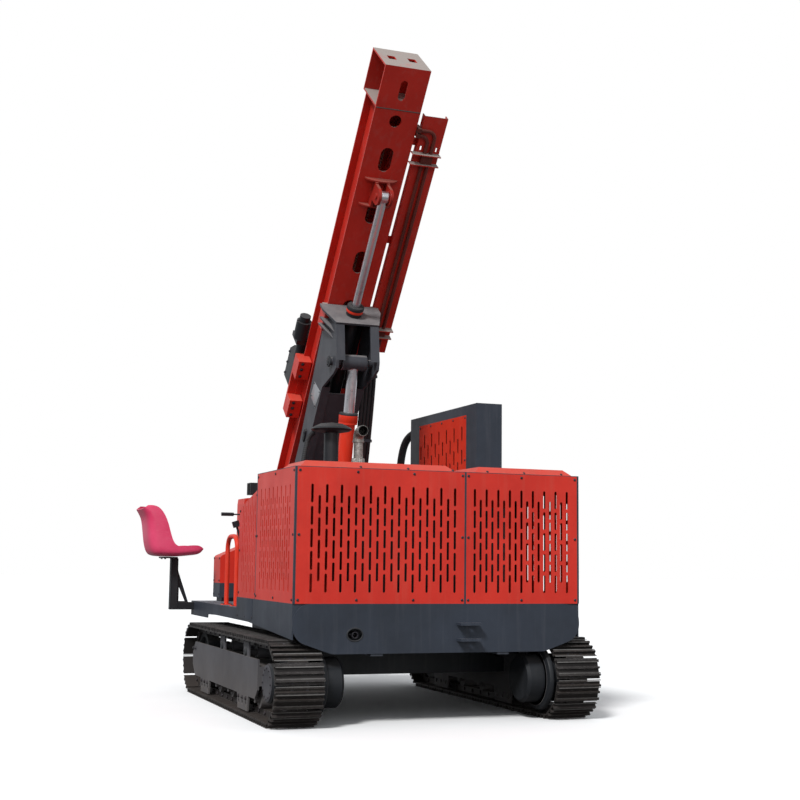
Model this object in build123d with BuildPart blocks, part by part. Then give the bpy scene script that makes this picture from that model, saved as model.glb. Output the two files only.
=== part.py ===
from build123d import *
from math import cos, pi, radians, sin
import os

os.makedirs("parts", exist_ok=True)

# All sizes are in millimetres. X runs to the machine's right, Y to its front and Z up.
# Pieces are drawn from the machine's middle plane, the housing's rear face and the ground.
# The origin then moves to the ground under the middle of the whole machine.
CENTRE_X = -200
CENTRE_Y = 1820

FIT = 0.05
SEAT_GAP = 0.3
CLEAR = 6
RUN = 0.5

# Tracks
TRACK_MIDDLE = 962
SHOE_WIDTH = 316
SHOE_PITCH = 148
STRAIGHT_COUNT = 15
ROUND_COUNT = 5
SHOE_LENGTH = 136
SHOE_PLATE = 10
GROUSER_HEIGHT = 22
GROUSER_PLACE = 48
GROUSER_THICK = 12
SHOE_RADIUS = ROUND_COUNT * SHOE_PITCH / pi
SPROCKET_Y = 190
IDLER_Y = SPROCKET_Y + STRAIGHT_COUNT * SHOE_PITCH
WHEEL_Z = SHOE_RADIUS + SHOE_PLATE + GROUSER_HEIGHT
LINK_HEIGHT = 42
LINK_WIDTH = 130
RUNNING_RADIUS = SHOE_RADIUS - LINK_HEIGHT
TOOTH_COUNT = 15
TOOTH_HEIGHT = 14
ROLLER_RADIUS = 58
ROLLER_WIDTH = 170
ROLLER_PLACES = (560, 930, 1300, 1670, 2040)
CARRIER_RADIUS = 42
CARRIER_WIDTH = 90
CARRIER_PLACES = (818, 1500)
CARRIER_ARM = 68
AXLE_RADIUS = 22

# Track frames and the cross frame
FRAME_PLATE = 12
FRAME_HALF = 129
FRAME_REAR = 460
FRAME_FRONT = 2430
FRAME_LOW = 140
FRAME_BEAM_LOW = 225
FRAME_BEAM_FRONT = 2150
FRAME_BEAM_TOP = 350
FRAME_TOP = 395
GUARD_LOW = 40
GUARD_PLACES = (840, 1990)
GUARD_HALF = 150
GUARD_HOLE = 16
DRUM_RADIUS = 160
DRUM_INNER = 640
CAP_RADIUS = 123
CAP_REACH = 136
CROSS_PLACES = (820, 1780)
CROSS_LENGTH = 240
CROSS_LOW = 255
CROSS_TOP = 440

# Deck and skirt
HALF_WIDTH = 1000
SHEET = 4
PLATE = 8
DECK_TOP = 690
DECK_FRONT = 2980
HOUSING_LOW = 767
HOUSING_TOP = 1620
HOUSING_FRONT = 930
RAIL_PLACE = 400
RAIL_WIDTH = 80
SKIRT_LOW = 455
SKIRT_SIDE_LOW = 545
SKIRT_SLOPE = 260
RAISED_FRONT = 1440
WELL_HALF = 150
WELL_REAR = 1560
WELL_FRONT = 2400

# Slotted panels
POST = 40
TRIM = 14
SLOT_LENGTH = 118
SLOT_WIDTH = 12
SLOT_PITCH = 140
SLOT_LOW = 836
SPLIT_X = 163

# Mast: drawn upright in its own frame, whose origin is the middle of the rear face
LEAN = 39.8
MAST_X = -75
MAST_Y = 2207
MAST_Z = 2500
MAST_WIDTH = 350
MAST_DEPTH = 280
MAST_FLANGE = 12
MAST_WEB = 10
WEB_PLACE = 120
MAST_FOOT = -1640
MAST_TOP = 2330
HEAD_LENGTH = 320
HEAD_TOP = MAST_TOP + HEAD_LENGTH
HEAD_DEPTH = 360
WINDOW_PITCH = 430
WINDOW_TOP = 1938
WINDOW_LENGTH = 190
WINDOW_WIDTH = 98
PORT_PLACE = 2242
PORT_RADIUS = 46

# Cradle, its pivot and the lift cylinder
PIVOT_BACK = 345
PIVOT_DOWN = 1340
PIVOT_RADIUS = 40
EYE_BACK = 400
EYE_UP = 410
EYE_PLATE = 124
CRADLE_TOP = 680
CRADLE_PLATE = 20
CRADLE_HALF = 175
CRADLE_GAP = 20
CRADLE_BACK = 335
POST_INNER = 106
POST_OUTER = 165
CLAW_REACH = 34
CLAW_LENGTH = 180
CLAW_PLACES = (CRADLE_TOP - CLAW_LENGTH, -1250)
BASE_Y = 2080
BASE_Z = 660
LIFT_BARREL_RADIUS = 58
LIFT_ROD_RADIUS = 43
LIFT_BARREL_TOP = 1540
LIFT_EYE_RADIUS = 60
LIFT_EYE_WIDTH = 200
LIFT_PIN = 30

# Slide cylinder behind the mast
SLIDE_BACK = 150
SLIDE_BARREL_RADIUS = 52
SLIDE_ROD_RADIUS = 32
SLIDE_LOW = -700
SLIDE_TOP = 771
SLIDE_RING = 43
SLIDE_EYE = 1705
SLIDE_EYE_RADIUS = 45
RIB_PLACES = (1570, 1778)
RIB_DEPTH = 62

# Feed carriage and rotary head on the mast's front
CARRIAGE_LOW = -505
CARRIAGE_TOP = 46
CARRIAGE_PLATE = 25
GUIDE_WIDE = 65
GUIDE_LAP = 44
GUIDE_DEPTH = 110
GUIDE_LENGTH = 170
MOTOR_X = 215
CHAIN_Y = 198
CHAIN_PLACES = (-1485, 2085)
CHAIN_RADIUS = 45
CHAIN_HEIGHT = 20
CHAIN_WIDTH = 24
CHAIN_SLOT = 70
SPINDLE_FRONT = 500
SPINDLE_RADIUS = 55

# Hose tray beside the mast
TRAY_LEFT = 215
TRAY_RIGHT = 401
TRAY_LOW = 287
TRAY_TOP = 2315
TRAY_SHEET = 5
TRAY_DEPTH = 55
TRAY_PIPE = 13
TRAY_PIPE_BACK = 17
SHELF = 8
SHELF_DEPTH = 60

# Cooler box on the right
COOLER_INNER = HALF_WIDTH - 220
COOLER_REAR = 1200
COOLER_FRONT = 2580
COOLER_TOP = 2245
COOLER_POST = 200
COOLER_SILL = 110
COOLER_HEAD = 75
COOLER_HOSE = 24
COOLER_HOSE_LOW = 1880
COOLER_HOSE_HIGH = 2150
COOLER_HOSE_REACH = 235

# Console beside the seat
CONSOLE_LEFT = -HALF_WIDTH + 173
CONSOLE_STEP = -HALF_WIDTH + 360
CONSOLE_RIGHT = -HALF_WIDTH + 550
CONSOLE_REAR = 2720
CONSOLE_FRONT = 2950
CONSOLE_PLINTH = 722
CONSOLE_BASE = 840
CONSOLE_EDGE = 1064
CONSOLE_BEND = 1140
CONSOLE_TOP = 1541
LEVER_Y = 2850

# Seat on a post beside the deck
SEAT_X = -HALF_WIDTH - 170
SEAT_Y = 2900
SEAT_HALF = 210
SEAT_WING = 14
SEAT_LOW = 1047

# Grab handle
HANDLE_X = -HALF_WIDTH + 60
HANDLE_REAR = 1700
HANDLE_FRONT = 2000
HANDLE_TOP = 1205
HANDLE_BAR = 18
HANDLE_CORNER = 100

# Exhaust and air intake on the roof
EXHAUST_X = -396
EXHAUST_Y = 555
EXHAUST_RADIUS = 32.5
EXHAUST_SLEEVE_TOP = 1729
EXHAUST_BEND = 1850
EXHAUST_MOUTH = 1912
INTAKE_X = -568
INTAKE_Y = 625
INTAKE_RADIUS = 50
INTAKE_CAP_LOW = 1900
INTAKE_CAP_TOP = 1975
INTAKE_CAP_RADIUS = 142

MACHINE = Plane.XY
MAST = Plane(
    origin=(MAST_X, MAST_Y, MAST_Z),
    x_dir=(1, 0, 0),
    z_dir=(0, -sin(radians(LEAN)), cos(radians(LEAN))),
)
EYE = MAST.from_local_coords(Vector(0, -EYE_BACK, EYE_UP))
PIVOT = MAST.from_local_coords(Vector(0, -PIVOT_BACK, -PIVOT_DOWN))
BASE = Vector(MAST_X, BASE_Y, BASE_Z)
LIFT = Plane(origin=BASE, x_dir=(1, 0, 0), z_dir=EYE - BASE)
LIFT_LENGTH = (EYE - BASE).length


def side(frame, x=0):
    """A plane facing the frame's right, its x forward and its y up."""
    middle = frame.from_local_coords(Vector(x, 0, 0))
    return Plane(origin=middle, x_dir=frame.y_dir, z_dir=frame.x_dir)


def rear(frame, y=0):
    """A plane facing the frame's rear, its x to the right and its y up."""
    middle = frame.from_local_coords(Vector(0, y, 0))
    return Plane(origin=middle, x_dir=frame.x_dir, z_dir=-frame.y_dir)


def block(frame, xs, ys, zs, mode=Mode.ADD):
    """A straight block between pairs of x, y and z in a frame."""
    with Locations(frame):
        with Locations((sum(xs) / 2, sum(ys) / 2, sum(zs) / 2)):
            Box(abs(xs[1] - xs[0]), abs(ys[1] - ys[0]), abs(zs[1] - zs[0]), mode=mode)


def crossways(frame, y, z, radius, xs, mode=Mode.ADD):
    """A round bar or hole that runs from left to right in a frame."""
    with BuildSketch(side(frame, xs[0])) as section:
        with Locations((y, z)):
            Circle(radius)
    extrude(section.sketch, amount=xs[1] - xs[0], mode=mode)


def upright(frame, x, y, radius, zs, mode=Mode.ADD):
    """A round bar or hole that runs up in a frame."""
    with BuildSketch(frame.offset(zs[0])) as section:
        with Locations((x, y)):
            Circle(radius)
    extrude(section.sketch, amount=zs[1] - zs[0], mode=mode)


def plate(plane, points, thickness, corner=0, mode=Mode.ADD):
    """A flat plate with the outline given, its corners rounded."""
    with BuildSketch(plane) as outline:
        with BuildLine():
            Polyline(*points, close=True)
        make_face()
        if corner:
            fillet(outline.vertices(), corner)
    extrude(outline.sketch, amount=thickness, mode=mode)


def bent_bar(plane, points, radius, corner, mode=Mode.ADD):
    """A bar of twelve flats that follows a line with rounded corners."""
    with BuildLine(plane) as path:
        FilletPolyline(*points, radius=corner)
    with BuildSketch(Plane(origin=path.line @ 0, z_dir=path.line % 0)) as section:
        RegularPolygon(radius, 12)
    sweep(section.sketch, path=path.line, mode=mode)


def save(name, solid):
    """Labels a finished piece and writes it about the machine's origin."""
    placed = solid.moved(Location((-CENTRE_X, -CENTRE_Y, 0)))
    placed.label = name
    export_step(placed, f"parts/{name}.step")


def save_pair(name, right):
    """Writes a piece of the right-hand side and its mirror image."""
    save(f"right_{name}", right)
    save(f"left_{name}", mirror(right, about=Plane.YZ))


# Tracks
# The loop is two straights and two half circles. A place on it is found from the distance
# run from the rear end of the lower straight, and each shoe lies along the loop there.
# Round the wheels the links are straight, so each half circle has corners between shoes.
TRACK_STRAIGHT = IDLER_Y - SPROCKET_Y
SHOE_COUNT = 2 * (STRAIGHT_COUNT + ROUND_COUNT)
SHOE_TURN = pi / ROUND_COUNT


def on_loop(run):
    """The point of the loop at a distance run, and the angle of its outward normal."""
    arc = pi * SHOE_RADIUS
    if run < TRACK_STRAIGHT:
        return SPROCKET_Y + run, WHEEL_Z - SHOE_RADIUS, -pi / 2
    run = run - TRACK_STRAIGHT
    if run < arc:
        angle = run / SHOE_RADIUS - pi / 2
        return IDLER_Y + SHOE_RADIUS * cos(angle), WHEEL_Z + SHOE_RADIUS * sin(angle), angle
    run = run - arc
    if run < TRACK_STRAIGHT:
        return IDLER_Y - run, WHEEL_Z + SHOE_RADIUS, pi / 2
    angle = (run - TRACK_STRAIGHT) / SHOE_RADIUS + pi / 2
    return SPROCKET_Y + SHOE_RADIUS * cos(angle), WHEEL_Z + SHOE_RADIUS * sin(angle), angle


def shoe_outline(run):
    """One shoe with three bars, seen from the side at a distance run along the loop."""
    end = SHOE_LENGTH / 2
    tip = SHOE_PLATE + GROUSER_HEIGHT
    bar = GROUSER_THICK / 2
    points = [(-end, 0), (-end, SHOE_PLATE)]
    for place in (-GROUSER_PLACE, 0, GROUSER_PLACE):
        points.append((place - bar, SHOE_PLATE))
        points.append((place - bar, tip))
        points.append((place + bar, tip))
        points.append((place + bar, SHOE_PLATE))
    points = points + [(end, SHOE_PLATE), (end, 0)]
    y, z, angle = on_loop(run)
    across, up = cos(angle), sin(angle)
    return [(y - along * up + out * across, z + along * across + out * up) for along, out in points]


def link_loop(radius):
    """Corners of the loop of straight links that touches a radius under each shoe."""
    corner = radius / cos(SHOE_TURN / 2)
    points = []
    for wheel, start in ((IDLER_Y, -pi / 2), (SPROCKET_Y, pi / 2)):
        for number in range(ROUND_COUNT):
            angle = start + (number + 0.5) * SHOE_TURN
            points.append((wheel + corner * cos(angle), WHEEL_Z + corner * sin(angle)))
    return points


with BuildPart() as track:
    with BuildSketch(side(MACHINE, TRACK_MIDDLE)):
        for number in range(SHOE_COUNT):
            with BuildLine():
                Polyline(*shoe_outline(number * SHOE_PITCH), close=True)
            make_face()
    extrude(amount=SHOE_WIDTH / 2, both=True)
    with BuildSketch(side(MACHINE, TRACK_MIDDLE)):
        for radius, mode in ((SHOE_RADIUS, Mode.ADD), (RUNNING_RADIUS, Mode.SUBTRACT)):
            with BuildLine():
                Polyline(*link_loop(radius), close=True)
            make_face(mode=mode)
    extrude(amount=LINK_WIDTH / 2, both=True)
save_pair("track", track.part)

# Idler: a turned wheel with a deep rim, a thin web and a hub
with BuildPart() as idler:
    rim = RUNNING_RADIUS - SEAT_GAP
    crossways(MACHINE, IDLER_Y, WHEEL_Z, rim, (TRACK_MIDDLE - 48, TRACK_MIDDLE + 48))
    for sign in (-1, 1):
        with BuildSketch(side(MACHINE, TRACK_MIDDLE + sign * 14)):
            with Locations((IDLER_Y, WHEEL_Z)):
                Circle(rim - 32)
                Circle(60, mode=Mode.SUBTRACT)
        extrude(amount=sign * 40, mode=Mode.SUBTRACT)
    crossways(MACHINE, IDLER_Y, WHEEL_Z, 48, (TRACK_MIDDLE - 68, TRACK_MIDDLE + 68))
save_pair("idler", idler.part)

# Sprocket with the drive motor's drum on its inner side and a round cap outside
with BuildPart() as sprocket:
    root = RUNNING_RADIUS - SEAT_GAP - TOOTH_HEIGHT
    crossways(MACHINE, SPROCKET_Y, WHEEL_Z, root, (TRACK_MIDDLE - 20, TRACK_MIDDLE + 20))
    with BuildSketch(side(MACHINE, TRACK_MIDDLE - 20)):
        with Locations((SPROCKET_Y, WHEEL_Z)):
            with PolarLocations(root - 1, TOOTH_COUNT):
                Trapezoid(36, 2 * TOOTH_HEIGHT, 60, rotation=-90)
    extrude(amount=40)
    tip = RUNNING_RADIUS - SEAT_GAP
    whole = (TRACK_MIDDLE - 21, TRACK_MIDDLE + 21)
    crossways(MACHINE, SPROCKET_Y, WHEEL_Z, tip, whole, Mode.INTERSECT)
    crossways(MACHINE, SPROCKET_Y, WHEEL_Z, DRUM_RADIUS, (DRUM_INNER, TRACK_MIDDLE))
    crossways(MACHINE, SPROCKET_Y, WHEEL_Z, CAP_RADIUS, (TRACK_MIDDLE, TRACK_MIDDLE + CAP_REACH))
    cap = sprocket.faces().sort_by(Axis.X)[-1]
    chamfer(cap.edges(), 10)
    drum = sprocket.faces().sort_by(Axis.X)[0]
    chamfer(drum.edges(), 18)
save_pair("final_drive", sprocket.part)

# Rollers under the frame and on top of it, each with its axle
with BuildPart() as rollers:
    low = WHEEL_Z - RUNNING_RADIUS + SEAT_GAP + ROLLER_RADIUS
    for y in ROLLER_PLACES:
        half = ROLLER_WIDTH / 2
        crossways(MACHINE, y, low, ROLLER_RADIUS, (TRACK_MIDDLE - half, TRACK_MIDDLE + half))
        inner = FRAME_HALF - FRAME_PLATE
        crossways(MACHINE, y, low, AXLE_RADIUS, (TRACK_MIDDLE - inner, TRACK_MIDDLE + inner))
    high = WHEEL_Z + RUNNING_RADIUS - SEAT_GAP - CARRIER_RADIUS
    for y in CARRIER_PLACES:
        half = CARRIER_WIDTH / 2
        crossways(MACHINE, y, high, CARRIER_RADIUS, (TRACK_MIDDLE - half, TRACK_MIDDLE + half))
        reach = FRAME_HALF - 2 * FRAME_PLATE
        crossways(MACHINE, y, high, AXLE_RADIUS, (TRACK_MIDDLE - reach, TRACK_MIDDLE + reach))
save_pair("rollers", rollers.part)

# Track frame: two side plates with a closed beam between them and arms to the idler
GUARD_HOLES = (-95, 0, 95)
with BuildPart() as track_frame:
    low = FRAME_LOW + 60
    plate_points = [(FRAME_REAR, low), (FRAME_REAR + 60, FRAME_LOW)]
    for middle in GUARD_PLACES:
        for y, z in ((-1, FRAME_LOW), (-0.86, GUARD_LOW), (0.86, GUARD_LOW), (1, FRAME_LOW)):
            plate_points.append((middle + y * GUARD_HALF, z))
    plate_points.append((FRAME_FRONT - 90, FRAME_LOW))
    plate_points.append((FRAME_FRONT, low + 20))
    plate_points.append((FRAME_FRONT, FRAME_TOP - 80))
    plate_points.append((FRAME_FRONT - 80, FRAME_TOP))
    plate_points.append((FRAME_REAR, FRAME_TOP))
    holes = [(middle + along, GUARD_LOW + 45) for middle in GUARD_PLACES for along in GUARD_HOLES]
    for x in (TRACK_MIDDLE - FRAME_HALF, TRACK_MIDDLE + FRAME_HALF - FRAME_PLATE):
        with BuildSketch(side(MACHINE, x)) as side_plate:
            with BuildLine():
                Polyline(*plate_points, close=True)
            make_face()
            with Locations(*holes):
                Circle(GUARD_HOLE, mode=Mode.SUBTRACT)
        extrude(side_plate.sketch, amount=FRAME_PLATE)
    block(
        MACHINE,
        (TRACK_MIDDLE - FRAME_HALF, TRACK_MIDDLE + FRAME_HALF),
        (FRAME_REAR, FRAME_BEAM_FRONT),
        (FRAME_BEAM_LOW, FRAME_BEAM_TOP),
    )
    for start in (-FRAME_HALF + FRAME_PLATE, FRAME_HALF - 2 * FRAME_PLATE):
        for y in CARRIER_PLACES:
            block(
                MACHINE,
                (TRACK_MIDDLE + start, TRACK_MIDDLE + start + FRAME_PLATE),
                (y - CARRIER_ARM, y + CARRIER_ARM),
                (FRAME_BEAM_TOP, WHEEL_Z + SHOE_RADIUS - 17),
            )
    for x in (TRACK_MIDDLE - 84, TRACK_MIDDLE + 68 + SEAT_GAP):
        arm = (FRAME_BEAM_FRONT, IDLER_Y + 50)
        block(MACHINE, (x, x + 15), arm, (FRAME_BEAM_LOW, WHEEL_Z + 50))
    for x in (TRACK_MIDDLE - FRAME_HALF + FRAME_PLATE, TRACK_MIDDLE + 83 + SEAT_GAP):
        xs = (x, x + FRAME_HALF - FRAME_PLATE - 84)
        block(MACHINE, xs, (IDLER_Y - 60, IDLER_Y - 20), (FRAME_BEAM_LOW, WHEEL_Z + 50))
    collar = (DRUM_INNER + 120, DRUM_INNER + 150)
    block(MACHINE, collar, (SPROCKET_Y - 60, FRAME_REAR + 60), (WHEEL_Z - 110, FRAME_BEAM_TOP))
    crossways(MACHINE, SPROCKET_Y, WHEEL_Z, DRUM_RADIUS + 25, collar)
    bore = (DRUM_INNER, TRACK_MIDDLE)
    crossways(MACHINE, SPROCKET_Y, WHEEL_Z, DRUM_RADIUS, bore, Mode.SUBTRACT)
    block(
        MACHINE,
        (DRUM_INNER + 120, TRACK_MIDDLE - FRAME_HALF + 1),
        (FRAME_REAR, FRAME_REAR + 60),
        (FRAME_BEAM_LOW, FRAME_BEAM_TOP),
    )
save_pair("track_frame", track_frame.part)

# Cross frame: two box beams between the track frames with a centre box under the deck
with BuildPart() as cross_frame:
    reach = TRACK_MIDDLE - FRAME_HALF
    for y in CROSS_PLACES:
        with BuildSketch(rear(MACHINE, y + CROSS_LENGTH)):
            with BuildLine():
                Polyline(
                    (-reach, CROSS_LOW),
                    (reach, CROSS_LOW),
                    (reach, FRAME_BEAM_TOP),
                    (RAIL_PLACE + RAIL_WIDTH, CROSS_TOP),
                    (-RAIL_PLACE - RAIL_WIDTH, CROSS_TOP),
                    (-reach, FRAME_BEAM_TOP),
                    close=True,
                )
            make_face()
        extrude(amount=CROSS_LENGTH)
    for sign in (-1, 1):
        xs = sorted((sign * RAIL_PLACE, sign * (RAIL_PLACE + RAIL_WIDTH)))
        block(MACHINE, xs, (CROSS_PLACES[0], CROSS_PLACES[1]), (CROSS_LOW + 40, CROSS_TOP))
save("cross_frame", cross_frame.part)

# Deck: floor plate with a well for the lift cylinder, on two long rails
with BuildPart() as deck:
    inside = HALF_WIDTH - PLATE
    block(MACHINE, (-inside, inside), (PLATE, DECK_FRONT - PLATE), (DECK_TOP - PLATE, DECK_TOP))
    block(
        MACHINE,
        (MAST_X - WELL_HALF, MAST_X + WELL_HALF),
        (WELL_REAR, WELL_FRONT),
        (DECK_TOP - 2 * PLATE, DECK_TOP + PLATE),
        Mode.SUBTRACT,
    )
    for sign in (-1, 1):
        xs = sorted((sign * RAIL_PLACE, sign * (RAIL_PLACE + RAIL_WIDTH)))
        block(MACHINE, xs, (PLATE, DECK_FRONT - PLATE), (CROSS_TOP, DECK_TOP - PLATE))
    block(
        MACHINE,
        (-RAIL_PLACE, RAIL_PLACE),
        (WELL_REAR - 60, WELL_FRONT + 60),
        (CROSS_TOP + 40, CROSS_TOP + 60),
    )
    for y in (WELL_REAR - 60, WELL_FRONT):
        block(MACHINE, (-RAIL_PLACE, RAIL_PLACE), (y, y + 60), (CROSS_TOP + 60, DECK_TOP - PLATE))
save("deck", deck.part)

# Skirt: a folded sheet round the deck, deepest at the rear, with rounded lower corners
with BuildPart() as skirt:
    with BuildSketch(rear(MACHINE, PLATE)) as rear_face:
        with BuildLine():
            Polyline(
                (-HALF_WIDTH, HOUSING_LOW),
                (-HALF_WIDTH, SKIRT_SIDE_LOW),
                (-HALF_WIDTH + SKIRT_SLOPE, SKIRT_LOW),
                (HALF_WIDTH - SKIRT_SLOPE, SKIRT_LOW),
                (HALF_WIDTH, SKIRT_SIDE_LOW),
                (HALF_WIDTH, HOUSING_LOW),
                close=True,
            )
        make_face()
        fillet(rear_face.vertices().group_by(Axis.Z)[0], 120)
        fillet(rear_face.vertices().group_by(Axis.X)[0].sort_by(Axis.Z)[0], 40)
        fillet(rear_face.vertices().group_by(Axis.X)[-1].sort_by(Axis.Z)[0], 40)
    extrude(amount=PLATE)
    with BuildSketch(rear(MACHINE, PLATE)):
        with Locations((-HALF_WIDTH + 410, 574)):
            Ellipse(50, 38)
    extrude(amount=PLATE, mode=Mode.SUBTRACT)
    side_points = (
        (PLATE, HOUSING_LOW),
        (PLATE, SKIRT_SIDE_LOW),
        (200, 556),
        (1100, 605),
        (2070, 610),
        (2362, 603),
        (2370, 576),
        (DECK_FRONT, 576),
        (DECK_FRONT, DECK_TOP),
        (RAISED_FRONT, DECK_TOP),
        (RAISED_FRONT, HOUSING_LOW),
    )
    for x in (-HALF_WIDTH, HALF_WIDTH - PLATE):
        plate(side(MACHINE, x), side_points, PLATE)
    block(
        MACHINE,
        (-HALF_WIDTH + PLATE, HALF_WIDTH - PLATE),
        (DECK_FRONT - PLATE, DECK_FRONT),
        (576, DECK_TOP),
    )
save("skirt", skirt.part)

# Rear lugs: two short horizontal plates on the skirt
with BuildPart() as rear_lugs:
    for z in (537, 638):
        with BuildSketch(Plane.XY.offset(z - 8)):
            with Locations((180, -35)):
                Rectangle(150, 70)
                Circle(16, mode=Mode.SUBTRACT)
        extrude(amount=16)
save("rear_lugs", rear_lugs.part)

# Housing frame: corner posts with rebates for the panels, and a ring under the roof
with BuildPart() as housing_frame:
    post_outline = (
        (0, 0),
        (TRIM, 0),
        (TRIM, SHEET),
        (POST, SHEET),
        (POST, POST),
        (SHEET, POST),
        (SHEET, TRIM),
        (0, TRIM),
    )
    for x_sign in (-1, 1):
        for y, y_sign in ((0, 1), (HOUSING_FRONT, -1)):
            points = [
                (x_sign * (HALF_WIDTH - across), y + y_sign * along)
                for across, along in post_outline
            ]
            plate(MACHINE.offset(HOUSING_LOW), points, HOUSING_TOP - HOUSING_LOW)
    block(
        MACHINE,
        (SPLIT_X - TRIM / 2, SPLIT_X + TRIM / 2),
        (0, POST),
        (HOUSING_LOW, HOUSING_TOP),
    )
    for y in (SHEET, HOUSING_FRONT - POST):
        block(
            MACHINE,
            (-HALF_WIDTH + POST, HALF_WIDTH - POST),
            (y, y + POST - SHEET),
            (HOUSING_TOP - POST, HOUSING_TOP),
        )
        block(
            MACHINE,
            (-HALF_WIDTH + POST, HALF_WIDTH - POST),
            (max(y, PLATE), y + POST - SHEET),
            (DECK_TOP, HOUSING_LOW),
        )
    for x in (-HALF_WIDTH + SHEET, HALF_WIDTH - POST):
        block(
            MACHINE,
            (x, x + POST - SHEET),
            (POST, HOUSING_FRONT - POST),
            (HOUSING_TOP - POST, HOUSING_TOP),
        )
    for x_sign in (-1, 1):
        xs = sorted((x_sign * (HALF_WIDTH - PLATE), x_sign * (HALF_WIDTH - POST)))
        block(MACHINE, xs, (PLATE, HOUSING_FRONT), (DECK_TOP, HOUSING_LOW))
save("housing_frame", housing_frame.part)


def slot_places(first, pitch, columns, low):
    """Middles of the slots: columns of five and four by turns, half a pitch apart."""
    places = []
    for column in range(columns):
        short = column % 2
        for row in range(5 - short):
            up = low + SLOT_LENGTH / 2 + (row + short / 2) * SLOT_PITCH
            places.append((first + column * pitch, up))
    return places


def slotted_sheet(plane, corners, slots):
    """A sheet with square-ended slots, its outline given by its corners."""
    with BuildSketch(plane) as sheet:
        with BuildLine():
            Polyline(*corners, close=True)
        make_face()
        with Locations(*slots):
            Rectangle(SLOT_WIDTH, SLOT_LENGTH, mode=Mode.SUBTRACT)
    extrude(sheet.sketch, amount=SHEET)


def box_corners(left, right, low, high):
    """The corners of an upright rectangle."""
    return (left, low), (right, low), (right, high), (left, high)


PANEL_LOW = HOUSING_LOW
PANEL_HIGH = HOUSING_TOP

# Rear panels: the left one has columns from -887, the right one from 230
with BuildPart() as rear_panel_left:
    corners = box_corners(-HALF_WIDTH + TRIM, SPLIT_X - TRIM / 2, PANEL_LOW, PANEL_HIGH)
    slotted_sheet(rear(MACHINE, SHEET), corners, slot_places(-887, 48.75, 21, SLOT_LOW))
save("rear_panel_left", rear_panel_left.part)

with BuildPart() as rear_panel_right:
    corners = box_corners(SPLIT_X + TRIM / 2, HALF_WIDTH - TRIM, PANEL_LOW, PANEL_HIGH)
    slotted_sheet(rear(MACHINE, SHEET), corners, slot_places(230, 42.5, 17, SLOT_LOW))
save("rear_panel_right", rear_panel_right.part)

# Side panels of the engine bay
with BuildPart() as side_panel:
    corners = box_corners(TRIM, HOUSING_FRONT - TRIM, PANEL_LOW, PANEL_HIGH)
    slotted_sheet(side(MACHINE, HALF_WIDTH - SHEET), corners, slot_places(115, 50, 15, SLOT_LOW))
save_pair("side_panel", side_panel.part)

# Front wall and roof plate of the engine bay
with BuildPart() as bay_wall:
    block(
        MACHINE,
        (-HALF_WIDTH + TRIM, HALF_WIDTH - TRIM),
        (HOUSING_FRONT - SHEET, HOUSING_FRONT),
        (HOUSING_LOW, HOUSING_TOP),
    )
save("bay_wall", bay_wall.part)

ROOF_SPLIT = 500
with BuildPart() as roof_plate:
    block(
        MACHINE,
        (-HALF_WIDTH, HALF_WIDTH),
        (0, HOUSING_FRONT),
        (HOUSING_TOP, HOUSING_TOP + SHEET),
    )
save("roof_plate", roof_plate.part)

# Roof covers: low pressed covers with sloping sides
# Columns: name, left and right edge, slope of the sides
ROOF_COVERS = (
    ("roof_cover_left", -966, 96, 52),
    ("roof_cover_right", 236, 956, 47),
)
COVER_HEIGHT = 41
for name, left, right, slope in ROOF_COVERS:
    base = HOUSING_TOP + SHEET
    with BuildPart() as cover:
        with BuildSketch(MACHINE.offset(base)):
            with Locations(((left + right) / 2, ROOF_SPLIT / 2)):
                Rectangle(right - left, ROOF_SPLIT - 2 * TRIM)
        with BuildSketch(MACHINE.offset(base + COVER_HEIGHT)):
            with Locations(((left + right) / 2, ROOF_SPLIT / 2)):
                Rectangle(right - left - 2 * slope, ROOF_SPLIT - 2 * TRIM - 2 * slope)
        loft()
        offset(amount=-SHEET, openings=cover.faces().sort_by(Axis.Z)[0])
    save(name, cover.part)

# Engine block: one plain mass on the deck
with BuildPart() as engine_block:
    block(MACHINE, (-520, 560), (180, 760), (DECK_TOP, 1400))
    chamfer(engine_block.edges().filter_by(Axis.Z), 40)
save("engine_block", engine_block.part)

# Valve cabinet at the left front of the bay, its roof sloping to the front
CABINET_FRONT = RAISED_FRONT
CABINET_RIGHT = -450
with BuildPart() as cabinet:
    cabinet_points = (
        (HOUSING_FRONT, DECK_TOP),
        (CABINET_FRONT, DECK_TOP),
        (CABINET_FRONT, 1400),
        (HOUSING_FRONT, 1520),
    )
    plate(side(MACHINE, -HALF_WIDTH + PLATE), cabinet_points, CABINET_RIGHT + HALF_WIDTH - PLATE)
    front_top = cabinet.edges().filter_by(Axis.X).group_by(Axis.Y)[-1].sort_by(Axis.Z)[-1]
    fillet(front_top, 60)
    offset(amount=-SHEET, openings=cabinet.faces().sort_by(Axis.Z)[0])
    with BuildSketch(side(MACHINE, -HALF_WIDTH)):
        with Locations(*slot_places(990, 50, 8, SLOT_LOW - 30)):
            Rectangle(SLOT_WIDTH, SLOT_LENGTH)
    extrude(amount=40, mode=Mode.SUBTRACT)
save("valve_cabinet", cabinet.part)

# Grab handle: a bent round bar on the platform's left edge
with BuildPart() as grab_handle:
    points = (
        (HANDLE_REAR, DECK_TOP),
        (HANDLE_REAR, HANDLE_TOP),
        (HANDLE_FRONT, HANDLE_TOP),
        (HANDLE_FRONT, DECK_TOP),
    )
    bent_bar(side(MACHINE, HANDLE_X), points, HANDLE_BAR, HANDLE_CORNER)
save("grab_handle", grab_handle.part)

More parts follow.
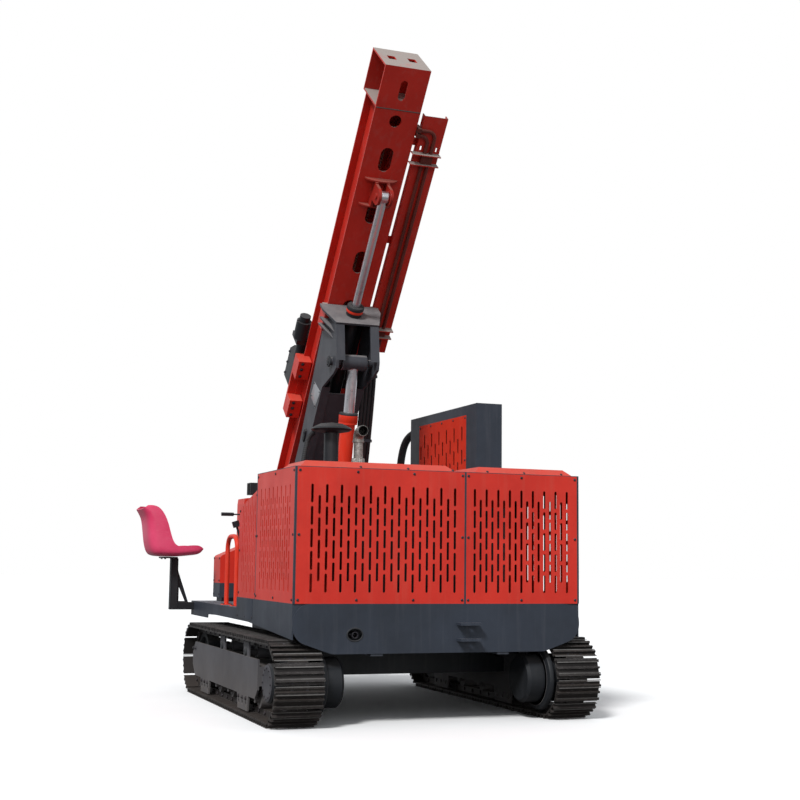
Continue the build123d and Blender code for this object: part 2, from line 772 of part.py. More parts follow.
# Console: a folded housing with a sloping shelf and an upright panel, on a closed base
with BuildPart() as control_console:
    console_points = (
        (CONSOLE_LEFT, CONSOLE_BASE),
        (CONSOLE_LEFT, CONSOLE_EDGE - 16),
        (CONSOLE_LEFT + 14, CONSOLE_EDGE),
        (CONSOLE_STEP, CONSOLE_BEND),
        (CONSOLE_STEP, CONSOLE_TOP - 52),
        (CONSOLE_STEP + 6, CONSOLE_TOP - 6),
        (CONSOLE_STEP + 56, CONSOLE_TOP),
        (CONSOLE_RIGHT, CONSOLE_TOP),
        (CONSOLE_RIGHT, CONSOLE_BASE),
    )
    plate(rear(MACHINE, CONSOLE_FRONT), console_points, CONSOLE_FRONT - CONSOLE_REAR)
    offset(amount=-SHEET, openings=control_console.faces().sort_by(Axis.Z)[0])
save("control_console", control_console.part)

with BuildPart() as console_base:
    xs = (CONSOLE_LEFT, CONSOLE_RIGHT)
    block(MACHINE, xs, (CONSOLE_REAR, CONSOLE_FRONT), (CONSOLE_PLINTH, CONSOLE_BASE))
    xs = (CONSOLE_LEFT + 25, CONSOLE_RIGHT - 25)
    block(MACHINE, xs, (CONSOLE_REAR + 25, CONSOLE_FRONT - 25), (DECK_TOP, CONSOLE_PLINTH))
save("console_base", console_base.part)

# Display: a flat box on a short foot, its screen turned to the seat
with BuildPart() as display:
    left = CONSOLE_STEP + 64
    block(MACHINE, (left, left + 156), (CONSOLE_REAR + 50, CONSOLE_REAR + 170), (1570, 1670))
    foot = (CONSOLE_TOP, 1570)
    block(MACHINE, (left + 50, left + 106), (CONSOLE_REAR + 80, CONSOLE_REAR + 140), foot)
save("console_display", display.part)

# Levers on the console: a grip on a level rod and a knob on a leaning one
with BuildPart() as levers:
    crossways(MACHINE, LEVER_Y, 1405, 6, (CONSOLE_STEP - 56, CONSOLE_STEP))
    crossways(MACHINE, LEVER_Y, 1405, 15, (CONSOLE_STEP - 158, CONSOLE_STEP - 56))
    knob = Vector(CONSOLE_STEP - 48, LEVER_Y - 70, 1320)
    foot = Vector(CONSOLE_STEP + 6, LEVER_Y - 70, 1156)
    shaft = Plane(origin=foot, z_dir=knob - foot)
    reach = (knob - foot).length
    upright(shaft, 0, 0, 9, (0, reach))
    upright(shaft, 0, 0, 30, (reach - 22, reach + 28))
    xs = (CONSOLE_STEP, CONSOLE_RIGHT)
    block(MACHINE, xs, (CONSOLE_REAR, CONSOLE_FRONT), (CONSOLE_BASE, CONSOLE_TOP), Mode.SUBTRACT)
save("control_levers", levers.part)

# Seat: a moulded bucket that faces the mast, its thin shell between two side wings
# The points are across from the post and up from the seat's underside.
SEAT_BACK = (
    (-306, 389),
    (-262, 303),
    (-248, 198),
    (-235, 72),
    (-220, 31),
    (-187, 0),
    (-3, 2),
    (95, 14),
    (177, 15),
    (206, 66),
)
SEAT_RIM = (
    (175, 97),
    (82, 95),
    (-16, 76),
    (-37, 89),
    (-66, 159),
    (-90, 264),
    (-119, 333),
    (-148, 389),
    (-187, 416),
    (-248, 416),
)
with BuildPart() as seat_shell:
    wing = [(SEAT_X + across, SEAT_LOW + up) for across, up in SEAT_BACK + SEAT_RIM]
    plate(rear(MACHINE, SEAT_Y + SEAT_HALF), wing, 2 * SEAT_HALF)
    hollow = [(SEAT_X + across + 12, SEAT_LOW + up + 10) for across, up in SEAT_BACK]
    hollow = hollow + [(SEAT_X + 400, SEAT_LOW + 500), (SEAT_X - 292, SEAT_LOW + 500)]
    inner = 2 * (SEAT_HALF - SEAT_WING)
    plane = rear(MACHINE, SEAT_Y + SEAT_HALF - SEAT_WING)
    plate(plane, hollow, inner, mode=Mode.SUBTRACT)
save("seat_shell", seat_shell.part)

with BuildPart() as seat_post:
    half = 30
    block(
        MACHINE,
        (SEAT_X - half, SEAT_X + half),
        (SEAT_Y - half, SEAT_Y + half),
        (620, SEAT_LOW - 12),
    )
    block(
        MACHINE,
        (SEAT_X - 110, SEAT_X + 10),
        (SEAT_Y - 100, SEAT_Y + 100),
        (SEAT_LOW - 12, SEAT_LOW),
    )
    arm = (SEAT_X + half, -HALF_WIDTH)
    block(MACHINE, arm, (SEAT_Y - half, SEAT_Y + half), (620, 680))
    strut = ((SEAT_X + half, 948), (-HALF_WIDTH - 37, 680), (SEAT_X + half, 680))
    plate(rear(MACHINE, SEAT_Y + 5), strut, 10)
save("seat_post", seat_post.part)

# Cooler: an upright frame with a slotted panel on its inner face
with BuildPart() as cooler_frame:
    block(
        MACHINE,
        (COOLER_INNER, HALF_WIDTH - PLATE),
        (COOLER_REAR, COOLER_FRONT),
        (DECK_TOP, COOLER_TOP),
    )
    block(
        MACHINE,
        (COOLER_INNER - 1, HALF_WIDTH - 60),
        (COOLER_REAR + COOLER_POST, COOLER_FRONT - COOLER_POST),
        (DECK_TOP + COOLER_SILL, COOLER_TOP - COOLER_HEAD),
        Mode.SUBTRACT,
    )
save("cooler_frame", cooler_frame.part)

with BuildPart() as cooler_panel:
    corners = box_corners(
        COOLER_REAR + COOLER_POST,
        COOLER_FRONT - COOLER_POST,
        DECK_TOP + COOLER_SILL,
        COOLER_TOP - COOLER_HEAD,
    )
    places = []
    for column in range(17):
        short = column % 2
        for row in range(9 - short):
            up = 910 + (row + short / 2) * SLOT_PITCH
            places.append((COOLER_REAR + COOLER_POST + 50 + column * 55, up))
    slotted_sheet(side(MACHINE, COOLER_INNER), corners, places)
save("cooler_panel", cooler_panel.part)

# Cooler hoses: two bowed hoses at the cooler's front end
with BuildPart() as cooler_hoses:
    bow = (
        (COOLER_FRONT, COOLER_HOSE_HIGH),
        (COOLER_FRONT + COOLER_HOSE_REACH, COOLER_HOSE_HIGH),
        (COOLER_FRONT + COOLER_HOSE_REACH, COOLER_HOSE_LOW),
        (COOLER_FRONT, COOLER_HOSE_LOW),
    )
    for across in (50, 120):
        bent_bar(side(MACHINE, COOLER_INNER + across), bow, COOLER_HOSE, 110)
save("cooler_hoses", cooler_hoses.part)

# Exhaust pipe in a sleeve, with a clamp and an open mouth that faces the rear
ROOF = HOUSING_TOP + SHEET
with BuildPart() as exhaust:
    upright(MACHINE, EXHAUST_X, EXHAUST_Y, EXHAUST_RADIUS, (ROOF, EXHAUST_BEND))
    upright(MACHINE, EXHAUST_X, EXHAUST_Y, EXHAUST_RADIUS + 10, (ROOF, EXHAUST_SLEEVE_TOP))
    upright(MACHINE, EXHAUST_X, EXHAUST_Y, EXHAUST_RADIUS + 7, (EXHAUST_BEND - 12, EXHAUST_BEND))
    bend = (
        (EXHAUST_Y, EXHAUST_BEND),
        (EXHAUST_Y, EXHAUST_MOUTH),
        (EXHAUST_Y - 95, EXHAUST_MOUTH),
    )
    bent_bar(side(MACHINE, EXHAUST_X), bend, EXHAUST_RADIUS + 5, 55)
    bent_bar(side(MACHINE, EXHAUST_X), bend, EXHAUST_RADIUS + 1, 55, Mode.SUBTRACT)
    low = (ROOF + 20, EXHAUST_BEND)
    upright(MACHINE, EXHAUST_X, EXHAUST_Y, EXHAUST_RADIUS - 4, low, Mode.SUBTRACT)
save("exhaust", exhaust.part)

# Air intake: a pipe under a round cap like a lens
with BuildPart() as air_intake:
    upright(MACHINE, INTAKE_X, INTAKE_Y, INTAKE_RADIUS, (ROOF, INTAKE_CAP_LOW))
    middle = Plane(origin=(INTAKE_X, INTAKE_Y, 0), x_dir=(1, 0, 0), z_dir=(0, -1, 0))
    with BuildSketch(middle) as lens:
        with BuildLine():
            Polyline(
                (0, INTAKE_CAP_LOW),
                (INTAKE_RADIUS, INTAKE_CAP_LOW),
                (INTAKE_CAP_RADIUS - 20, INTAKE_CAP_LOW + 14),
                (INTAKE_CAP_RADIUS, INTAKE_CAP_LOW + 26),
                (INTAKE_CAP_RADIUS - 10, INTAKE_CAP_LOW + 38),
                (INTAKE_CAP_RADIUS - 60, INTAKE_CAP_TOP - 12),
                (0, INTAKE_CAP_TOP),
                close=True,
            )
        make_face()
    revolve(lens.sketch, axis=Axis((INTAKE_X, INTAKE_Y, 0), (0, 0, 1)))
save("air_intake", air_intake.part)

with BuildPart() as intake_hose:
    points = (
        (INTAKE_X - 205, ROOF),
        (INTAKE_X - 190, ROOF + 120),
        (INTAKE_X - 172, ROOF + 215),
        (INTAKE_X - 125, INTAKE_CAP_LOW),
    )
    bent_bar(rear(MACHINE, INTAKE_Y), points, 17, 60)
    block(
        MACHINE,
        (INTAKE_X - 240, INTAKE_X + 60),
        (INTAKE_Y - 40, INTAKE_Y + 40),
        (ROOF - 40, ROOF),
        Mode.SUBTRACT,
    )
save("intake_hose", intake_hose.part)

# Pivot bracket: two uprights on the deck that carry the cradle's pivot pin
BRACKET_PLATE = 25
BRACKET_INNER = CRADLE_HALF + CLEAR
BRACKET_OUTER = BRACKET_INNER + BRACKET_PLATE
with BuildPart() as pivot_bracket:
    for sign in (-1, 1):
        start = MAST_X + (BRACKET_INNER if sign > 0 else -BRACKET_OUTER)
        with BuildSketch(side(MACHINE, start)):
            with BuildLine():
                Polyline(
                    (PIVOT.Y - 330, DECK_TOP),
                    (PIVOT.Y + 160, DECK_TOP),
                    (PIVOT.Y + 95, PIVOT.Z),
                    (PIVOT.Y - 95, PIVOT.Z),
                    close=True,
                )
            make_face()
            with Locations((PIVOT.Y, PIVOT.Z)):
                Circle(95)
        extrude(amount=BRACKET_PLATE)
    crossways(
        MACHINE,
        PIVOT.Y,
        PIVOT.Z,
        PIVOT_RADIUS,
        (MAST_X - BRACKET_OUTER - 20, MAST_X + BRACKET_OUTER + 20),
    )
    block(
        MACHINE,
        (MAST_X - BRACKET_INNER, MAST_X + BRACKET_INNER),
        (PIVOT.Y - 280, PIVOT.Y - 255),
        (DECK_TOP, DECK_TOP + 160),
    )
save("pivot_bracket", pivot_bracket.part)

# Base lugs of the lift cylinder, in the deck's well
with BuildPart() as lift_lugs:
    for x in (MAST_X - 75, MAST_X + 50):
        with BuildSketch(side(MACHINE, x)):
            with BuildLine():
                Polyline(
                    (BASE_Y - 130, CROSS_TOP + 60),
                    (BASE_Y + 130, CROSS_TOP + 60),
                    (BASE_Y + 60, BASE_Z),
                    (BASE_Y - 60, BASE_Z),
                    close=True,
                )
            make_face()
            with Locations((BASE_Y, BASE_Z)):
                Circle(60)
        extrude(amount=25)
    crossways(MACHINE, BASE_Y, BASE_Z, LIFT_PIN, (MAST_X - 90, MAST_X + 90))
save("lift_lugs", lift_lugs.part)

# Cradle: two side plates behind the mast, each with a post along its rear edge
RIB_POINTS = (
    (CRADLE_HALF, -300),
    (CRADLE_HALF + 65, -90),
    (CRADLE_HALF + 65, -70),
    (CRADLE_HALF, -70),
)
CRADLE_SIDE = (
    (-CRADLE_GAP, CRADLE_TOP),
    (-290, CRADLE_TOP),
    (-EYE_BACK - 95, EYE_UP + 75),
    (-EYE_BACK - EYE_PLATE, EYE_UP + 20),
    (-EYE_BACK - 95, EYE_UP - 50),
    (-CRADLE_BACK + 7, 127),
    (-CRADLE_BACK, -211),
    (-CRADLE_BACK, -900),
    (-PIVOT_BACK - 90, -PIVOT_DOWN + 40),
    (-PIVOT_BACK - 90, -PIVOT_DOWN - 50),
    (-PIVOT_BACK + 60, -PIVOT_DOWN - 95),
    (-CRADLE_GAP, -PIVOT_DOWN - 60),
    (-CRADLE_GAP, -1060),
    (-125, -980),
    (-125, -560),
    (-CRADLE_GAP, 440),
)
with BuildPart() as cradle:
    for x in (-CRADLE_HALF, CRADLE_HALF - CRADLE_PLATE):
        plate(side(MAST, x), CRADLE_SIDE, CRADLE_PLATE)
    for sign in (-1, 1):
        xs = sorted((sign * POST_INNER, sign * POST_OUTER))
        post = [(y, z) for y, z in CRADLE_SIDE[5:8]] + [(-CRADLE_BACK + 22, -900), (-CRADLE_BACK + 22, 110)]
        plate(side(MAST, xs[0]), post, xs[1] - xs[0])
        post = (CRADLE_SIDE[1], CRADLE_SIDE[2], (-EYE_BACK - 70, EYE_UP + 75), (-265, CRADLE_TOP))
        plate(side(MAST, xs[0]), post, xs[1] - xs[0])
    for y, zs in ((-CRADLE_BACK + 22, (-880, 60)), (-CRADLE_GAP - 12, (-1300, -1060))):
        block(MAST, (-CRADLE_HALF, CRADLE_HALF), (y, y + 12), zs)
    with BuildSketch(MAST.offset(CRADLE_TOP)):
        with BuildLine():
            Polyline(
                (-240, -CRADLE_GAP + 15),
                (-240, -90),
                (-175, -290),
                (175, -290),
                (240, -90),
                (240, -CRADLE_GAP + 15),
                close=True,
            )
        make_face()
        with Locations((0, -SLIDE_BACK)):
            Circle(SLIDE_BARREL_RADIUS, mode=Mode.SUBTRACT)
    extrude(amount=16)
    for rib in (EYE_UP + 140, EYE_UP + 195):
        for sign in (-1, 1):
            points = [(sign * across, along) for across, along in RIB_POINTS]
            plate(MAST.offset(rib), points, 10)
    half = CRADLE_HALF - CRADLE_PLATE
    block(MAST, (-half, half), (-SLIDE_BACK - 50, -SLIDE_BACK + 50), (SLIDE_LOW - 30, SLIDE_LOW))
    outer = (-CRADLE_HALF - 20, CRADLE_HALF + 20)
    inner = LIFT_EYE_WIDTH / 2 + CLEAR
    crossways(MAST, -EYE_BACK, EYE_UP, LIFT_PIN, (outer[0], -inner))
    crossways(MAST, -EYE_BACK, EYE_UP, LIFT_PIN, (inner, outer[1]))
    crossways(MAST, -PIVOT_BACK, -PIVOT_DOWN, 75, (-CRADLE_HALF, CRADLE_HALF))
    crossways(MAST, -PIVOT_BACK, -PIVOT_DOWN, PIVOT_RADIUS + FIT, outer, Mode.SUBTRACT)
save("cradle", cradle.part)

# Claws: bent bars on the cradle's sides that hold the mast by its rear flange
with BuildPart() as claws:
    edge = MAST_WIDTH / 2
    claw = (
        (edge, -90),
        (edge + CLAW_REACH, -90),
        (edge + CLAW_REACH, MAST_FLANGE + 30),
        (WEB_PLACE + 20, MAST_FLANGE + 30),
        (WEB_PLACE + 20, MAST_FLANGE + SEAT_GAP),
        (edge + SEAT_GAP, MAST_FLANGE + SEAT_GAP),
        (edge + SEAT_GAP, -CRADLE_GAP),
        (edge, -CRADLE_GAP),
    )
    for low in CLAW_PLACES:
        for sign in (-1, 1):
            points = [(sign * across, along) for across, along in claw]
            plate(MAST.offset(low), points, CLAW_LENGTH)
    for rib in (EYE_UP + 140, EYE_UP + 195):
        for sign in (-1, 1):
            points = [(sign * across, along) for across, along in RIB_POINTS]
            plate(MAST.offset(rib), points, 10, mode=Mode.SUBTRACT)
save("cradle_claws", claws.part)

# Slide cylinder: its barrel in the cradle and its rod on the mast
with BuildPart() as slide_barrel:
    upright(MAST, 0, -SLIDE_BACK, SLIDE_BARREL_RADIUS, (SLIDE_LOW, SLIDE_TOP - 60))
    ring = SLIDE_TOP - SLIDE_RING
    upright(MAST, 0, -SLIDE_BACK, SLIDE_BARREL_RADIUS + 6, (CRADLE_TOP + 16, ring))
    upright(MAST, 0, -SLIDE_BACK, SLIDE_BARREL_RADIUS + 12, (ring, SLIDE_TOP))
    upright(
        MAST, 0, -SLIDE_BACK, SLIDE_ROD_RADIUS + FIT, (SLIDE_LOW + 40, SLIDE_TOP + 1), Mode.SUBTRACT
    )
save("slide_barrel", slide_barrel.part)

with BuildPart() as slide_rod:
    upright(MAST, 0, -SLIDE_BACK, SLIDE_ROD_RADIUS, (SLIDE_TOP - 160, SLIDE_EYE - 30))
    crossways(MAST, -SLIDE_BACK, SLIDE_EYE, SLIDE_EYE_RADIUS, (-30, 30))
save("slide_rod", slide_rod.part)

# Clevis that ties the slide rod's eye to the mast, between two half-round ribs
with BuildPart() as clevis:
    low, high = RIB_PLACES
    for x in (-56, 36):
        with BuildSketch(side(MAST, x)) as ear:
            with BuildLine():
                Polyline((0, low + 10), (0, high), (-70, high), (-70, low + 10), close=True)
            make_face()
            with Locations((-SLIDE_BACK, SLIDE_EYE)):
                Circle(65)
            with Locations((-SLIDE_BACK / 2, SLIDE_EYE)):
                Rectangle(SLIDE_BACK, 130)
        extrude(ear.sketch, amount=20)
    for place in RIB_PLACES:
        with BuildSketch(MAST.offset(place)) as rib:
            with Locations((0, 0)):
                Ellipse(MAST_WIDTH / 2 - 45, RIB_DEPTH)
            with Locations((0, RIB_DEPTH)):
                Rectangle(MAST_WIDTH, 2 * RIB_DEPTH, mode=Mode.SUBTRACT)
        extrude(rib.sketch, amount=10)
    crossways(MAST, -SLIDE_BACK, SLIDE_EYE, 20, (-66, -30))
    crossways(MAST, -SLIDE_BACK, SLIDE_EYE, 20, (30, 66))
save("rod_clevis", clevis.part)

# Mast: rear and front flanges with two recessed webs and windows in the rear flange
with BuildPart() as mast_beam:
    half = MAST_WIDTH / 2
    zs = (MAST_FOOT, MAST_TOP)
    block(MAST, (-half, half), (0, MAST_FLANGE), zs)
    block(MAST, (-half, half), (MAST_DEPTH - MAST_FLANGE, MAST_DEPTH), zs)
    for x in (-WEB_PLACE, WEB_PLACE - MAST_WEB):
        block(MAST, (x, x + MAST_WEB), (MAST_FLANGE, MAST_DEPTH - MAST_FLANGE), zs)
    windows = []
    place = WINDOW_TOP
    while place > MAST_FOOT + WINDOW_LENGTH:
        windows.append((0, place))
        place = place - WINDOW_PITCH
    with BuildSketch(rear(MAST, MAST_FLANGE)):
        with Locations(*windows):
            SlotOverall(WINDOW_LENGTH, WINDOW_WIDTH, rotation=90)
        with Locations((0, PORT_PLACE)):
            Circle(PORT_RADIUS)
    extrude(amount=MAST_FLANGE, mode=Mode.SUBTRACT)
    block(
        MAST,
        (-CHAIN_SLOT / 2, CHAIN_SLOT / 2),
        (MAST_DEPTH - MAST_FLANGE - 1, MAST_DEPTH + 1),
        (CHAIN_PLACES[0], CHAIN_PLACES[1]),
        Mode.SUBTRACT,
    )
save("mast_beam", mast_beam.part)

# Mast head: a deeper box with an open left side and a top plate
with BuildPart() as mast_head:
    half = MAST_WIDTH / 2
    block(MAST, (-half, half), (0, MAST_FLANGE), (MAST_TOP, HEAD_TOP))
    block(MAST, (-half, half), (HEAD_DEPTH - MAST_FLANGE, HEAD_DEPTH), (MAST_TOP, HEAD_TOP))
    block(MAST, (half - MAST_FLANGE, half), (0, HEAD_DEPTH), (MAST_TOP, HEAD_TOP))
    block(MAST, (-half, half), (0, HEAD_DEPTH), (HEAD_TOP - MAST_FLANGE, HEAD_TOP))
    block(MAST, (-half, half), (0, HEAD_DEPTH), (MAST_TOP, MAST_TOP + MAST_FLANGE))
    with BuildSketch(rear(MAST, MAST_FLANGE)):
        with Locations((0, MAST_TOP + 146)):
            SlotOverall(150, 56, rotation=90)
    extrude(amount=MAST_FLANGE, mode=Mode.SUBTRACT)
    with BuildSketch(MAST.offset(MAST_TOP)):
        with Locations((-70, 150), (0, 150), (70, 150)):
            Rectangle(24, 90)
    extrude(amount=MAST_FLANGE, mode=Mode.SUBTRACT)
    with BuildSketch(MAST.offset(HEAD_TOP - MAST_FLANGE)):
        with Locations((-80, 180), (80, 180)):
            Rectangle(60, 70)
    extrude(amount=MAST_FLANGE, mode=Mode.SUBTRACT)
save("mast_head", mast_head.part)

# Feed chain inside the mast, in front of a slot, and the two wheels that carry it
with BuildPart() as feed_chain:
    with BuildSketch(side(MAST, -CHAIN_WIDTH / 2)):
        with Locations((CHAIN_Y, sum(CHAIN_PLACES) / 2)):
            reach = CHAIN_PLACES[1] - CHAIN_PLACES[0]
            SlotCenterToCenter(reach, 2 * (CHAIN_RADIUS + CHAIN_HEIGHT), rotation=90)
            SlotCenterToCenter(reach, 2 * CHAIN_RADIUS, rotation=90, mode=Mode.SUBTRACT)
    extrude(amount=CHAIN_WIDTH)
save("feed_chain", feed_chain.part)

with BuildPart() as chain_wheels:
    web = WEB_PLACE - MAST_WEB
    for z in CHAIN_PLACES:
        rim = CHAIN_RADIUS - SEAT_GAP
        crossways(MAST, CHAIN_Y, z, rim, (-CHAIN_WIDTH / 2, CHAIN_WIDTH / 2))
        crossways(MAST, CHAIN_Y, z, 18, (-web, web))
save("chain_wheels", chain_wheels.part)

# Hose tray: a shallow channel beside the mast, with shelves behind it for the pipes
# Columns of the shelves: place along the mast, left edge
SHELVES = ((444, TRAY_LEFT), (511, TRAY_LEFT), (1946, MAST_WIDTH / 2), (2026, MAST_WIDTH / 2))
PIPES = ((TRAY_LEFT + 65, 2165), (TRAY_LEFT + 113, 2207))
with BuildPart() as hose_tray:
    block(MAST, (TRAY_LEFT, TRAY_RIGHT), (0, TRAY_SHEET), (TRAY_LOW, TRAY_TOP))
    with BuildSketch(rear(MAST, TRAY_SHEET)):
        with Locations((TRAY_LEFT + 30, 2068), (TRAY_RIGHT - 30, 2068)):
            SlotOverall(40, 14, rotation=90)
    extrude(amount=TRAY_SHEET, mode=Mode.SUBTRACT)
    for x in (TRAY_LEFT, TRAY_RIGHT - TRAY_SHEET):
        block(MAST, (x, x + TRAY_SHEET), (0, TRAY_DEPTH), (TRAY_LOW, TRAY_TOP))
    for z in (460, 1240, 2060):
        block(MAST, (WEB_PLACE, TRAY_RIGHT), (TRAY_DEPTH, TRAY_DEPTH + 10), (z, z + 60))
    for place, left in SHELVES:
        with BuildSketch(MAST.offset(place)) as shelf:
            with Locations(((left + TRAY_RIGHT) / 2, -SHELF_DEPTH / 2)):
                Rectangle(TRAY_RIGHT - left, SHELF_DEPTH)
            for x, top in PIPES:
                with Locations((x, -TRAY_PIPE_BACK)):
                    Circle(TRAY_PIPE + SEAT_GAP, mode=Mode.SUBTRACT)
        extrude(shelf.sketch, amount=SHELF)
save("hose_tray", hose_tray.part)

# Two pipes that turn at the top through a block into the mast's side, and their clamps
with BuildPart() as tray_pipes:
    edge = MAST_WIDTH / 2 + CLEAR
    for x, top in PIPES:
        points = ((x, TRAY_LOW + 60), (x, top), (edge, top))
        bent_bar(rear(MAST, -TRAY_PIPE_BACK), points, TRAY_PIPE, 60)
        zs = (top - TRAY_PIPE - 2, top + TRAY_PIPE + 2)
        block(MAST, (edge, edge + 26), (-TRAY_PIPE_BACK - 15, 60), zs)
        block(MAST, (WEB_PLACE, edge), (34, 60), zs)
    for low, high in ((SHELVES[0][0], SHELVES[1][0]), (SHELVES[2][0], SHELVES[3][0])):
        xs = (TRAY_LEFT + 45, TRAY_LEFT + 133)
        ys = (-TRAY_PIPE_BACK - 17, -SEAT_GAP)
        block(MAST, xs, ys, (low + SHELF, high))
save("tray_pipes", tray_pipes.part)

# Foot of the mast: an end plate with a rod guide at the front
with BuildPart() as mast_foot:
    half = MAST_WIDTH / 2
    block(MAST, (-half, half), (0, MAST_DEPTH), (MAST_FOOT - 20, MAST_FOOT))
    block(MAST, (-110, 110), (MAST_DEPTH, SPINDLE_FRONT + 90), (MAST_FOOT - 20, MAST_FOOT + 60))
    upright(MAST, 0, SPINDLE_FRONT, 60, (MAST_FOOT - 30, MAST_FOOT + 70), Mode.SUBTRACT)
save("mast_foot", mast_foot.part)

# Feed carriage: a plate across the mast's front with guide blocks round the flange
CARRIAGE_BACK = MAST_DEPTH + RUN
with BuildPart() as head_carriage:
    half = MAST_WIDTH / 2
    wide = half + GUIDE_WIDE
    plate_depth = (CARRIAGE_BACK, CARRIAGE_BACK + CARRIAGE_PLATE)
    block(MAST, (-wide, wide), plate_depth, (CARRIAGE_LOW, CARRIAGE_TOP))
    for low in (CARRIAGE_LOW, CARRIAGE_TOP - GUIDE_LENGTH):
        zs = (low, low + GUIDE_LENGTH)
        for sign in (-1, 1):
            xs = sorted((sign * (half + RUN), sign * wide))
            block(MAST, xs, (MAST_DEPTH - GUIDE_DEPTH, CARRIAGE_BACK), zs)
            xs = sorted((sign * (half - GUIDE_LAP), sign * wide))
            ys = (MAST_DEPTH - GUIDE_DEPTH, MAST_DEPTH - MAST_FLANGE - RUN)
            block(MAST, xs, ys, zs)
    block(
        MAST,
        (-20, 20),
        (CHAIN_Y + CHAIN_RADIUS + CHAIN_HEIGHT + CLEAR, CARRIAGE_BACK),
        (CARRIAGE_LOW, CARRIAGE_TOP),
    )
save("head_carriage", head_carriage.part)

HEAD_BACK = CARRIAGE_BACK + CARRIAGE_PLATE
with BuildPart() as rotary_head:
    block(MAST, (-210, 210), (HEAD_BACK, SPINDLE_FRONT + 120), (-330, -60))
    chamfer(rotary_head.edges().filter_by(Axis(MAST.origin, MAST.z_dir)), 50)
    upright(MAST, 0, SPINDLE_FRONT, SPINDLE_RADIUS + FIT, (-400, 100), Mode.SUBTRACT)
save("rotary_head", rotary_head.part)

# Drive motors: each on a housing that stands on the head, with its pipe block on top
with BuildPart() as head_motors:
    for sign in (-1, 1):
        x = sign * MOTOR_X
        middle = sign * (MOTOR_X - 50)
        upright(MAST, middle, 420, 46, (-60, 130))
        xs = sorted((middle - sign * 40, x + sign * 40))
        block(MAST, xs, (300, 460), (130, 172))
        upright(MAST, x, 348, 62, (172, 330))
        upright(MAST, x, 348, 45, (330, 380))
        block(MAST, (x - 30, x + 30), (390, 424), (200, 290))
save("head_motors", head_motors.part)

with BuildPart() as spindle:
    upright(MAST, 0, SPINDLE_FRONT, SPINDLE_RADIUS, (-600, 60))
    upright(MAST, 0, SPINDLE_FRONT, SPINDLE_RADIUS + 20, (-420, -330 - CLEAR))
    upright(MAST, 0, SPINDLE_FRONT, SPINDLE_RADIUS + 20, (-60 + CLEAR, -20))
    upright(MAST, 0, SPINDLE_FRONT, 30, (-601, 61), Mode.SUBTRACT)
save("spindle", spindle.part)

# Lift cylinder: barrel with its base eye and gland, and the rod with its wide eye
with BuildPart() as lift_barrel:
    upright(LIFT, 0, 0, LIFT_BARREL_RADIUS, (80, LIFT_BARREL_TOP - 40))
    block(LIFT, (-40, 40), (-40, 40), (0, 80))
    upright(LIFT, 0, 0, LIFT_BARREL_RADIUS + 16, (LIFT_BARREL_TOP - 70, LIFT_BARREL_TOP))
    crossways(LIFT, 0, 0, 55, (-44, 44))
    crossways(LIFT, 0, 0, LIFT_PIN + FIT, (-45, 45), Mode.SUBTRACT)
    upright(LIFT, 0, 0, LIFT_ROD_RADIUS + FIT, (120, LIFT_BARREL_TOP + 1), Mode.SUBTRACT)
save("lift_barrel", lift_barrel.part)

with BuildPart() as lift_rod:
    upright(LIFT, 0, 0, LIFT_ROD_RADIUS, (LIFT_BARREL_TOP - 1000, LIFT_LENGTH))
    crossways(LIFT, 0, LIFT_LENGTH, LIFT_EYE_RADIUS, (-LIFT_EYE_WIDTH / 2, LIFT_EYE_WIDTH / 2))
save("lift_rod", lift_rod.part)
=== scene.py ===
# %% [markdown]
# # A core drilling rig on tracks
# The frame holds the rig's solids: housing, mast, cradle, tracks and seat, each on its own body.
# This lesson dresses them: every solid gets a material made of nodes, and the small things that a
# real rig carries, such as screws, track bolts, pipes, a chain and a moulded seat, are built as meshes.

import bmesh
import bpy
import numpy as np
from mathutils import Matrix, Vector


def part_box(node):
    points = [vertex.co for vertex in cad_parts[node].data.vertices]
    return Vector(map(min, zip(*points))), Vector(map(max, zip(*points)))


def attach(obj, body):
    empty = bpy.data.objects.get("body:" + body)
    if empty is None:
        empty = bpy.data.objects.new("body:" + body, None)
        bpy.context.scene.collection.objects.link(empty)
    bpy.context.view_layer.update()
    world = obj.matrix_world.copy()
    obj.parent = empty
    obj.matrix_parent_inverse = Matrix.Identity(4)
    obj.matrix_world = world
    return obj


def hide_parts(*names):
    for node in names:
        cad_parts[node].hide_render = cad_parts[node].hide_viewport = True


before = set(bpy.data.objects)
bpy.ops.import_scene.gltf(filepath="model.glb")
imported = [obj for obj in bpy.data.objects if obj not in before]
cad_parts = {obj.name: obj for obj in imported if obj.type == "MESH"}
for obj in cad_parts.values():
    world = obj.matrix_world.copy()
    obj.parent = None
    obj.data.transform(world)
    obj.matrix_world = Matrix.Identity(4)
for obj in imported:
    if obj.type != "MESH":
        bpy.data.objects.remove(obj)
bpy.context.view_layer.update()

# %% [markdown]
# Places on the rig are easiest to read in millimetres from its own datums: X from its middle plane,
# Y from the housing's rear face and Z from the ground. The mast leans back, so it has a frame of its
# own: across, forward out of its rear face, and along its length. Both are turned into metres here.

# %% Places on the rig
MIDDLE = np.array([-200.0, 1820.0, 0.0])
LEAN = np.radians(39.8)
ACROSS = np.array([1.0, 0.0, 0.0])
FORWARD = np.array([0.0, 1.0, 0.0])
UP = np.array([0.0, 0.0, 1.0])
MAST_START = np.array([-75.0, 2207.0, 2500.0])
MAST_FORWARD = np.array([0.0, np.cos(LEAN), np.sin(LEAN)])
MAST_ALONG = np.array([0.0, -np.sin(LEAN), np.cos(LEAN)])
LIFT_START = np.array([-75.0, 2080.0, 660.0])
LIFT_ALONG = np.array([0.0, -0.227069, 0.973879])
LIFT_FORWARD = np.array([0.0, 0.973879, 0.227069])


